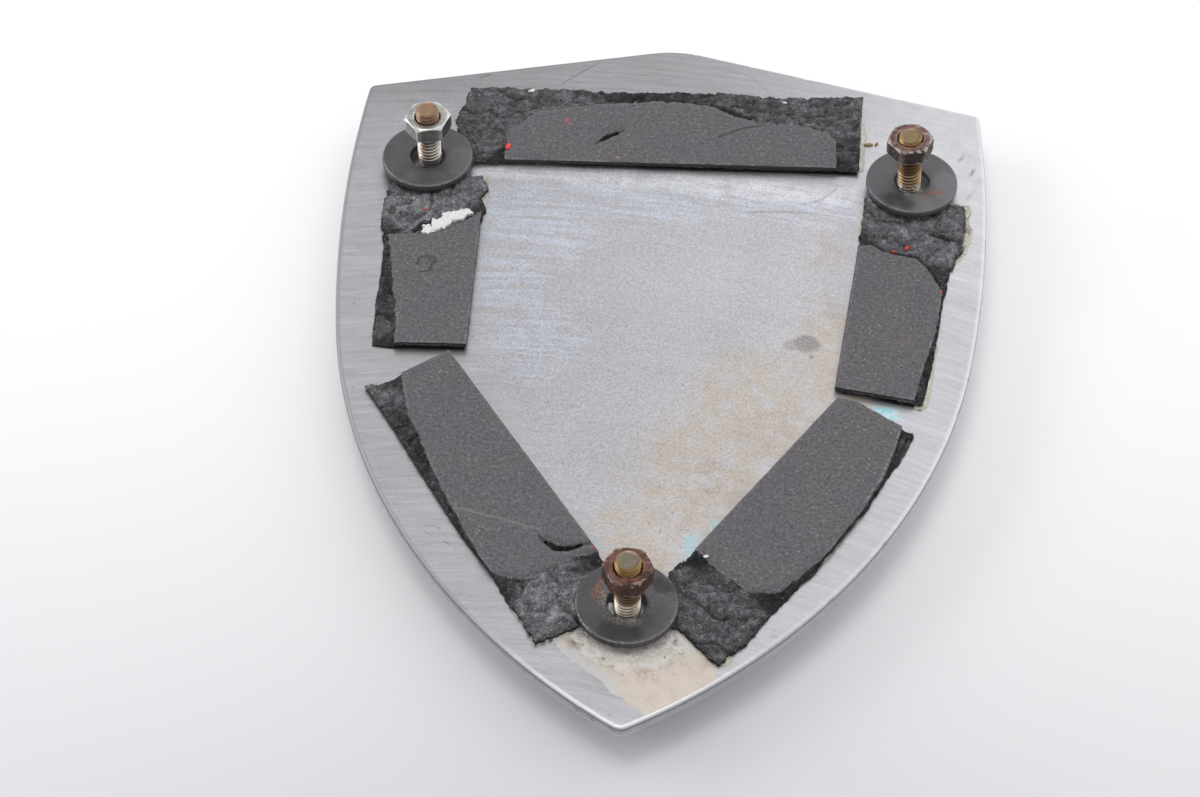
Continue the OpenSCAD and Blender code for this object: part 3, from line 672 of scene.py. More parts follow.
def shieldRim(inset):
    # clockwise from the ridge of the gable, drawn in by the inset
    form = shieldForm
    longR = form["sideRadius"]
    longC = np.array([form["width"] / 2 - longR, 0.0])
    turn = math.radians(form["sideTurn"])
    way = np.array([math.cos(turn), -math.sin(turn)])
    joint = longC + longR * way
    toTip = np.array([0, -form["tipDrop"]]) - joint
    lowR = -(toTip @ toTip) / (2 * (way @ toTip))
    lowC = joint - lowR * way
    slope = math.atan(form["gableRise"] / (longC[0] + math.sqrt(longR ** 2 - form["shoulderRise"] ** 2)))
    n, t = np.array([math.sin(slope), math.cos(slope)]), np.array([math.cos(slope), -math.sin(slope)])
    d = n[1] * (form["shoulderRise"] + form["gableRise"])

    def tipCentre(cut, r):
        return np.array([0, lowC[1] - math.sqrt((lowR - cut - r) ** 2 - lowC[0] ** 2)])

    def bearing(point, centre):
        return math.degrees(math.atan2(*(point - centre)[::-1]))

    ridgeY = (d - form["ridgeRound"]) / math.cos(slope) + form["ridgeRound"]
    lift = -(ridgeY + tipCentre(0, form["tipRound"])[1] - form["tipRound"]) / 2
    rr, rc, rt = (max(form[k] - inset, 0.1) for k in ("ridgeRound", "cornerRound", "tipRound"))
    q = (d - inset - rc) * n - longC
    along = -q @ t + math.sqrt((q @ t) ** 2 - q @ q + (longR - inset - rc) ** 2)
    cornerC = (d - inset - rc) * n + along * t
    tipC = tipCentre(inset, rt)
    slope = math.degrees(slope)
    cornerA, tipA = bearing(cornerC, longC), bearing(tipC, lowC)
    ridgeC = np.array([0, (d - inset - rr) / math.cos(math.radians(slope))])
    ridge = arcPoints(ridgeC, rr, 90, 90 - slope, 14)
    corner = arcPoints(cornerC, rc, 90 - slope, cornerA, 10)
    line = np.linspace(0, 1, 72)[1:-1, None]
    right = np.concatenate([ridge, ridge[-1] * (1 - line) + corner[0] * line, corner,
                            arcPoints(longC, longR - inset, cornerA, -form["sideTurn"], 50)[1:],
                            arcPoints(lowC, lowR - inset, -form["sideTurn"], tipA, 160)[1:],
                            arcPoints(tipC, rt, tipA, -90, 10)[1:]])
    right[:, 1] += lift
    return np.concatenate([right, (right * [-1, 1])[-2:0:-1]])


# how ragged, then places in mm on the back: (x, y, reach across, reach along)
backStainsAndReflection = {
    "warm": [0.35, (30, -1, 10, 15), (20, -10, 16, 14), (8, -24, 14, 16), (0.5, -38, 9, 9)],
    "stain": [0.5, (26.5, 11, 4, 8), (19.5, -14.5, 8, 7), (10.5, -26.5, 7, 6), (6, -32, 5, 4),
        (27, 24, 4, 6), (-29.8, 36.8, 2.2, 1.6), (26, 31, 4, 4), (0, -42, 5, 3)],
    # the bluish patches are a painted reflection, not a stain
    "blue": [0.4, (-20, 27, 16, 12), (2, 34, 26, 7), (-24, 12, 8, 14), (-18, 2, 9, 12), (24, 33, 10, 5)],
    "green": [0.4, (36.2, -9.7, 2.8, 1.8), (8, -37.6, 1.5, 2.4), (-5.4, -38, 0.7, 0.4),
        (11.6, -33.4, 1, 1.4)],
    "dirt": [0.35, (39.1, 61.3, 0.7, 0.45), (44.1, 60.4, 0.45, 0.3), (21, -53.4, 0.5, 0.4),
        (-6.2, -67.4, 0.9, 0.5), (-4.3, -68.8, 0.6, 0.5), (18.2, -59.3, 0.7, 0.4), (51, 40.5, 0.5, 0.5),
        (50.6, 44.6, 0.5, 0.6), (48.6, 48, 0.5, 0.5), (51.8, 42.6, 0.4, 0.5), (49.6, 46.6, 0.4, 0.4),
        (50.2, 38.3, 0.4, 0.5), (47.4, 51.6, 0.4, 0.4), (24.4, -60.5, 0.6, 0.4)],
}

# outline of the matt middle of the back
centreField = [(-31, 37), (-27, 41), (0, 41.5), (30, 40), (33, 34), (28.5, 4), (27, -7), (5, -42), (4, -46),
    (-4, -46), (-5, -40), (-27, -1), (-29, 12)]


def shieldProfile():
    # pairs of inset and height, from the floor of the sunk front field out and round to the back
    top = shieldForm["back"]
    front = [(10.5, 2.2), (10.5, 0.9), (10.47, 0.3), (10.35, 0.09), (10.1, 0.0), (9.3, 0.0), (8.4, 0.0),
             (8.15, 0.05), (7.95, 0.22), (7.78, 0.62), (7.6, 0.94), (7.45, 1.0), (7.05, 1.0), (6.8, 1.06)]
    border = [(6.8 * (1 - s), 1.06 + (top - 3.06) * s) for s in (0.12, 0.3, 0.5, 0.7, 0.88, 0.97)]
    edge = [(0.06, 1.96), (0, 1.85), (0, 1.2), (0, 0.5), (0.02, 0.33), (0.09, 0.22), (0.19, 0.11),
            (0.31, 0.03)]
    back = [(inset, top) for inset in (0.46, 0.8, 1.4, 2.1, 2.9, 3.8, 4.8, 5.9, 7.1, 8.4, 9.8)]
    return front + border + [(inset, top - down) for inset, down in edge] + back


def makeShield():
    top, heart = shieldForm["back"], np.array(shieldForm["heart"])
    rings, height, edge = [], [], []
    for inset, z in shieldProfile():
        rings.append(shieldRim(inset))
        height.append(z)
        edge.append(1.0 if top - 0.45 < z < top - 0.005 or (z == top and inset < 0.5) else 0.0)
    size, last = len(rings[0]), rings[-1]
    inner = 1 - np.linspace(0.02, 1, shieldForm["rings"])[:-1] ** 1.05
    rings += [heart + (last - heart) * share for share in inner]
    height += [top] * len(inner)
    edge += [0.0] * len(inner)
    xy, z, worn = np.concatenate(rings), np.repeat(height, size), np.repeat(edge, size)
    # small dents and a wandering width along the chamfer
    x, y = xy.T
    dent = worn * (0.03 * lumpy(x, y, 2.4, 5, 2) + 0.12 * smooth(0.5, 0.8, lumpy(x, y, 1.6, 9, 2)))
    xy = xy - xy / np.linalg.norm(xy, axis=1, keepdims=True) * np.maximum(dent, 0)[:, None]
    z = z - worn * 0.02 * np.abs(lumpy(xy[:, 0], xy[:, 1], 1.1, 21, 2))
    rows, centre = len(height), len(xy)
    verts = np.concatenate([np.c_[xy, z], [[*heart, top], [*heart, shieldForm["fieldFloor"]]]])
    faces = ringFaces(rows, size) + fanFaces(range((rows - 1) * size, rows * size), centre)
    faces += fanFaces(range(size), centre + 1, True)
    x, y = verts[:, 0], verts[:, 1]
    inside = outlineDistance(x, y, centreField)[0]
    whitish = np.abs(y - (38.6 - 0.037 * x + 1.2 * lumpy(x, y, 9, 4))) - 1.2
    tags = {"matte": smooth(3.5, -2.5, inside + 1.2 * lumpy(x, y, 5, 2)),
            "white": smooth(2.0, 0.0, whitish) * smooth(34, 30, np.abs(x + 0.5)),
            "edge": np.concatenate([worn, [0, 0]])}
    for name, (wild, *spots) in backStainsAndReflection.items():
        tags[name] = blotch(x, y, spots, wild)
    tags["green"] *= np.where(y < -20, 0.42, 1.0)  # the marks low down are fainter
    piece = finishMesh("shieldBody", verts, faces, "back", "shield_casting", 30, tags)
    piece.data.materials.append(finishes["front"])
    mids = np.array([p.center[2] for p in piece.data.polygons])
    piece.data.polygons.foreach_set("material_index", (mids < (top - 1.9) * mm).astype(np.int32))
    print("shield:", len(verts), "points")


makeShield()

ribForm = {"width": 2.6, "drop": 46.0, "floor": 2.3, "ends": 0.6, "steps": 120}
ribY = shieldRim(0)[0][1] - ribForm["drop"]


def makeRib():
    # rounded bar that parts the two enamel panels, its ends inside the bead
    half, steps = ribForm["width"] / 2, ribForm["steps"]
    side = [(1, ribForm["floor"]), (1, 0.62), (0.93, 0.43), (0.78, 0.335), (0.5, 0.305)]
    section = [(-half * s, z) for s, z in side] + [(0, 0.3)] + [(half * s, z) for s, z in side[::-1]]
    rim = shieldRim(10.42)
    rim = rim[rim[:, 0] > 5]
    reach = np.interp(-ribY, -rim[:, 1], rim[:, 0]) + ribForm["ends"]
    verts = [(x, ribY + dy, z) for x in np.linspace(-reach, reach, steps) for dy, z in section]
    count = len(section)
    faces = ringFaces(steps, count)
    faces += [list(range(count)), list(range((steps - 1) * count, steps * count))[::-1]]
    finishMesh("dividingRib", verts, faces, "front", None, 40)


makeRib()

enamelForm = {"inset": 10.53, "gap": 0.04, "floor": 2.18, "level": 0.78, "cell": 0.8, "reach": 45}


def makeEnamel(name, node, look, above):
    # glossy fill: level in the middle, drawn up a little where it meets the metal
    rim = shieldRim(enamelForm["inset"])
    bound = ribY + (ribForm["width"] / 2 + enamelForm["gap"]) * (1 if above else -1)

    def outline(x, y):
        return np.maximum(outlineDistance(x, y, rim[::3])[0], bound - y if above else y - bound)

    def top(x, y, inward):
        return np.full(x.shape, enamelForm["floor"])

    def underside(x, y):
        inward = np.maximum(-outline(x, y), 0)
        return enamelForm["level"] - 0.16 * np.exp(-inward / 0.5) + 0.012 * lumpy(x, y, 5, 8, 2)

    low, high = (bound, rim[:, 1].max()) if above else (rim[:, 1].min(), bound)
    spread = (-enamelForm["reach"], enamelForm["reach"], low - 1, high + 1)
    verts, faces, _ = sheetShape(spread, enamelForm["cell"], outline, top, underside)
    finishMesh(name, verts, faces, look, node, 50)


makeEnamel("enamelChief", "enamel_chief", "chief", True)
makeEnamel("enamelBase", "enamel_base", "base", False)
print("front ready")

# studs, washers and nuts; what is said of a stain is in mm from the washer's own middle

studForm = {"radius": 1.95, "pitch": 0.7, "depth": 0.36, "bury": 1.0, "around": 56, "perTurn": 10,
            "chamfer": 0.3}
fasteners = {
    "left": {
        "at": (-39.35, 38.9185), "lean": 0.0, "proud": 13.3, "above": 1.45,
        "turn": 12, "off": -0.45, "brown": 2.2, "slot": "zinc_nut", "power": 60,
        "wear": 0.012, "pale": 0.19, "sheen": 0.34, "ring": 0.2,
        "rust": [], "dust": [], "gloom": []},
    "right": {
        "at": (40.15, 38.9185), "lean": 3.6, "proud": 13.0, "above": 0.5,
        "turn": 8, "off": 0.4, "brown": 3.6, "slot": "rusty_nut", "power": 34,
        "wear": 0.05, "pale": 0.35, "sheen": 0.52, "ring": 0.2,
        "rust": [(3.6, -2.6, 2.6, 0.7), (2.0, -3.6, 0.7, 0.4)], "dust": [(0.3, -3.3, 2.2, 0.5)],
        "gloom": [(-3.0, -4.7, 2.6, 2.0), (-0.9, -5.8, 2.0, 1.4)]},
    "lower": {
        "at": (-0.25, -51.0815), "lean": 0.0, "proud": 12.9, "above": 1.35,
        "turn": -2, "off": -0.15, "brown": 3.9, "slot": "dark_nut", "power": 22,
        "wear": 0.07, "pale": 0.05, "sheen": 0.18, "ring": 1.0,
        "rust": [(-4.4, 1.6, 0.9, 2.3), (-3.9, 3.4, 0.7, 0.9)],
        "dust": [(0.4, -3.4, 2.8, 0.9), (-3.4, 0.4, 0.7, 2.6)],
        "gloom": [(-0.4, -5.6, 5.2, 2.8), (4.9, 3.2, 2.2, 2.0)]},
}


def standing(spec, verts):
    # from a stud's own frame, origin on the back and Z along it, into part millimetres
    turn = Matrix.Rotation(-math.radians(spec["lean"]), 3, "Y")
    return np.asarray(verts) @ np.array(turn).T + [*spec["at"], shieldForm["back"]]


def threadGrowth(given):
    # rolled thread: a grid wrapped round whose rows climb one pitch a turn, pushed in by a triangle wave
    length, pitch = given["Length"], given["Pitch"]
    grid = length.put("GeometryNodeMeshGrid", {"Size X": 1.0, "Size Y": 1.0, "Vertices X": given["Around"],
                                               "Vertices Y": given["Rows"]})
    place = length.put("GeometryNodeInputPosition")
    x, y = place.part(0) + 0.5, place.part(1) + 0.5
    z = (y * given["Span"] + (x - 1) * pitch).most(0).least(length)
    left = length - z
    groove = (abs((z / pitch - x).sum("FRACT") - 0.5) * 2.0).fade(0.12, 0.86) * left.fade(0.0, 0.5, 0.35, 1.0)
    radius = (given["Radius"] - given["Depth"] * groove).least(given["Radius"] - given["Chamfer"] + left)
    turn = x * (2 * math.pi)
    # the depth is stored while the grid is still flat, because it is worked out from the flat places
    tagged = grid.put("GeometryNodeStoreNamedAttribute", {"Geometry": grid, "Name": "depth",
                      "Value": 1 - groove}, {"data_type": "FLOAT", "domain": "POINT"})
    moved = (radius * turn.sum("COSINE")).join(radius * turn.sum("SINE"), z)
    shaped = tagged.put("GeometryNodeSetPosition", {"Geometry": tagged, "Position": moved})
    return shaped.put("GeometryNodeMergeByDistance", {"Geometry": shaped, "Distance": 1e-3}), given["Metal"]


rolledThread = growingTree("rolledThread", {
    **dict.fromkeys(("Radius", "Length", "Pitch", "Depth", "Span", "Chamfer"), "Float"),
    **dict.fromkeys(("Around", "Rows"), "Int"), "Metal": "Material"}, threadGrowth)


def makeStud(side, spec):
    form, title = studForm, side.capitalize()
    length = form["bury"] + spec["proud"]
    step = form["pitch"] / form["perTurn"]
    rows = math.ceil((length + form["pitch"]) / step) + 1
    grown = grownMesh("grownThread", bpy.data.meshes.new("start"), rolledThread, {
        "Radius": form["radius"], "Length": length, "Pitch": form["pitch"], "Depth": form["depth"],
        "Span": (rows - 1) * step, "Chamfer": form["chamfer"], "Around": form["around"] + 1, "Rows": rows,
        "Metal": finishes["stud" + title]})
    verts = np.array([v.co for v in grown.vertices])
    faces = [list(p.vertices) for p in grown.polygons]
    depth = np.array([a.value for a in grown.attributes["depth"].data])
    # close both ends: a sawn tip, a little uneven, and a flat foot
    work = bmesh.new()
    work.from_mesh(grown)
    openEnds = {v.index for e in work.edges if e.is_boundary for v in e.verts}
    work.free()
    bpy.data.meshes.remove(grown)
    openEnds = sorted(openEnds, key=lambda i: math.atan2(verts[i][1], verts[i][0]))
    tipRing = [i for i in openEnds if verts[i][2] > length / 2]
    footRing = [i for i in openEnds if verts[i][2] <= length / 2]
    extra, ring = [], tipRing
    outer = np.hypot(*verts[tipRing][:, :2].T).mean()
    for share in (0.9, 0.7, 0.45, 0.2):
        new = []
        for i in tipRing:
            x, y = verts[i][:2] / np.hypot(*verts[i][:2]) * outer * share
            bump = 0.03 * lumpy(np.array([x]), np.array([y]), 0.8, 31)[0]
            new.append(len(verts) + len(extra))
            extra.append((x, y, length - 0.03 - 0.02 * share + bump))
        faces += bandFaces(ring, new)
        ring = new
    verts = np.concatenate([verts, extra, [[0, 0, length - 0.03], [0, 0, 0]]])
    faces += fanFaces(ring, len(verts) - 2) + fanFaces(footRing, len(verts) - 1, True)
    # how far up its tip each point is, in steps that the finish tells apart
    n, shown = len(depth), spec["above"]
    x, y, z = verts.T
    high = np.where(np.hypot(x, y) < outer * 0.97, 1.0, np.clip(z / length, 0, 0.88))
    high[:n] = np.minimum((z[:n] - (length - shown - 1.2)) / (shown + 1.2), 0.86)
    high[tipRing] = 0.93
    verts = verts - [0, 0, form["bury"]]
    brownFrom = spec["proud"] - spec["above"] - nutForm["height"] - spec["brown"]
    # foot: the part down in the washer's hole, with whitish residue and painted shade
    finishMesh("stud" + title, standing(spec, verts), faces, "stud" + title, "stud_" + side, 55, {
        "depth": np.concatenate([depth, np.ones(len(verts) - n)]), "high": np.clip(high, 0, 1),
        "under": smooth(brownFrom - 0.5, brownFrom + 0.3, verts[:, 2]),
        "foot": smooth(3.8, 2.9, verts[:, 2])})


nutForm = {"flats": 6.8, "height": 2.9, "bore": 2.0, "lead": 0.2, "edge": 0.1, "step": 2}


def makeNut(side, spec):
    # every ring has the same points round, held inside the hexagon and under the chamfer cones
    half, tall, slope = nutForm["flats"] / 2, nutForm["height"], math.tan(math.radians(30))
    bore, lead, cone, pitch = nutForm["bore"], nutForm["lead"], half - nutForm["edge"], studForm["pitch"]
    a = np.radians(np.arange(0, 360, nutForm["step"]))
    facing = np.maximum(np.cos(a[:, None] - np.radians(60 * np.arange(6) + 30)), 0)
    flats = half / np.power(np.power(facing, spec["power"]).sum(1), 1 / spec["power"])

    def drop(r):
        return np.maximum(r - cone, 0) * slope

    def chamfered(share):
        return cone + (flats - 0.03 - cone) * share

    # each ring: radius, height, worn edge, inner thread
    levels = np.linspace(tall - 1.5, tall - lead, 12)
    rings = [(bore - 0.01 + 0.26 * (0.5 - 0.5 * np.cos(2 * math.pi * (z / pitch) - a)), z, 0, 1)
             for z in levels]
    rings += [(bore + 0.10, tall - lead + 0.04, 0, 0.7), (bore + lead - 0.05, tall - 0.05, 0.1, 0.1),
              (bore + lead + 0.05, tall, 0.5, 0)]
    rings += [(bore + 0.4 + (cone - bore - 0.4) * s, tall, edge, 0)
              for s, edge in ((0.25, 0), (0.6, 0), (0.9, 0.5))]
    rings += [(chamfered(s), tall - drop(chamfered(s)), 0.55, 0) for s in (0.15, 0.4, 0.7)]
    rings += [(flats - 0.05, tall - drop(flats - 0.05), 1, 0), (flats, tall - drop(flats) - 0.07, 1, 0)]
    corner = smooth(half * 1.02, half * 1.12, flats) * 0.45
    rings += [(flats, (tall - drop(flats)) * (1 - s) + drop(flats) * s, corner, 0)
              for s in (0.12, 0.3, 0.5, 0.7, 0.88)]
    rings += [(flats, drop(flats) + 0.07, 0.9, 0), (flats - 0.05, drop(flats - 0.05), 0.9, 0)]
    rings += [(chamfered(s), drop(chamfered(s)), 0.4, 0) for s in (0.6, 0.2)]
    rings += [(cone - 0.2, 0, 0, 0), (bore + lead + 0.05, 0, 0.3, 0), (bore + 0.05, lead, 0, 0.8),
              (bore + 0.05, tall - 1.6, 0, 1)]
    r, z, edge, inner = (np.concatenate([np.broadcast_to(v, a.shape) for v in row]) for row in zip(*rings))
    verts = np.c_[r * np.tile(np.cos(a), len(rings)), r * np.tile(np.sin(a), len(rings)), z]
    x, y, z = verts.T
    wear = spec["wear"]
    bump = wear * lumpy(x * 1.3 + z * 2.1, y * 1.3 - z * 1.7, 0.9, 41 + len(side), 4)
    r = np.hypot(x, y)
    solid = r > bore + 0.3
    verts[:, :2] += (verts[:, :2] / r[:, None]) * np.where(solid, bump - wear * 0.5, 0)[:, None]
    verts[:, 2] += np.where(solid & (z > tall / 2), np.minimum(bump, 0), 0)
    halo = smooth(bore + 1.1, bore + 0.3, r) * (z > tall - 0.1)
    verts = turned(verts, (0, 0), spec["turn"])
    verts[:, 2] = verts[:, 2] + spec["proud"] - spec["above"] - tall
    finishMesh("nut" + side.capitalize(), standing(spec, verts), ringFaces(len(rings), len(a), closed=True),
               "nut" + side.capitalize(), "nut_" + side, 35,
               {"edge": edge, "inner": inner, "halo": halo}, side + "_nut")


washerForm = {"radius": 7.5, "hole": 2.9, "thick": 1.2, "bottom": 9.45, "offY": 0.4, "step": 2.5}


def makeWasher(side, spec):
    # stamped ring: rolled upper edge, sharper lower one
    w = washerForm
    lean = math.tan(math.radians(spec["lean"]))
    cx = spec["at"][0] - (w["bottom"] - shieldForm["back"]) * lean + spec["off"]
    cy = spec["at"][1] + w["offY"]
    out, hole, top = w["radius"], w["hole"], w["thick"]
    # each ring: radius, height, how worn it is, where the rim also gets a painted highlight
    profile = [(hole, 0.25, 0), (hole + 0.1, 0.04, 0), (hole + 0.3, 0, 0), (4.5, 0, 0), (6.2, 0, 0)]
    profile += [(out - r, z, worn) for r, z, worn in (
        (0.35, 0, 0), (0.12, 0.03, 0), (0.02, 0.13, 0), (0, 0.3, 0), (0, 0.6, 0), (0.01, 0.9, 0),
        (0.05, 1.05, 0.5), (0.13, 1.14, 1), (0.26, 1.185, 0.35), (0.5, top, 0))]
    profile += [(r, top, 0) for r in (6.4, 5.7, 5.0, 4.4, 3.9, 3.5)]
    profile += [(hole + 0.3, 1.19, 0), (hole + 0.13, 1.15, 0.3), (hole + 0.03, 1.05, 0.3), (hole, 0.9, 0)]
    a = np.radians(np.arange(0, 360, w["step"]))
    verts = np.concatenate([np.c_[r * np.cos(a), r * np.sin(a), np.full(a.shape, z)] for r, z, _ in profile])
    x, y, z = verts.T
    r = np.hypot(x, y)
    rim = smooth(3.6, 3.0, r) + smooth(7.0, 7.4, r)
    push = np.minimum(0.02 * lumpy(x, y, 3.0, 51 + len(side), 3) * rim, 0)
    verts = np.c_[x + x / r * push, y + y / r * push,
                  np.minimum(z + np.where(z > 0.8, 0.02 * lumpy(x, y, 4.0, 61, 3) - 0.01, 0), top)]
    # the worn rim gets a stronger painted highlight on the front side, and a painted sheen lies at the front
    # and right
    front = smooth(0.6, -0.4, np.sin(np.arctan2(y, x)) + 0.3 * lumpy(x, y, 2.5, 71))
    sheen = blotch(x, y, [(1.0, -5.4, 5.2, 3.2), (5.6, -0.6, 2.8, 5.6)], 0.3)
    tags = {"worn": np.repeat([ring[2] for ring in profile], len(a)) * (0.35 + 0.65 * front),
            "ring": smooth(1.3, 0.3, np.abs(r - 3.6)) * (z > 1.1) * spec["ring"],
            "pale": spec["pale"] + spec["sheen"] * sheen, "gloom": blotch(x, y, spec["gloom"], 0.3)}
    for name, wild in (("rust", 0.35), ("dust", 0.5)):
        tags[name] = blotch(x, y, spec[name], wild) * (z > 0.9)
    faces = ringFaces(len(profile), len(a), closed=True)
    finishMesh("washer" + side.capitalize(), verts + [cx, cy, w["bottom"]], faces, "washer", "washer_" + side,
               40, tags, side + "_washer")


for side, spec in fasteners.items():
    makeStud(side, spec)
    makeNut(side, spec)
    makeWasher(side, spec)
print("studs, nuts and washers ready")

# the five strips of foam tape, each torn its own way

# levels, the cells of the grids, and how far the tape keeps from a stud's middle
stripForm = {"bondTop": 8.15, "foamTop": 9.15, "faceTop": 9.6, "underWasher": 9.38, "margin": 8.03,
             "bondFoot": 7.99, "foamCell": 0.25, "faceCell": 0.26, "bondCell": 0.4, "studKeep": 2.5}
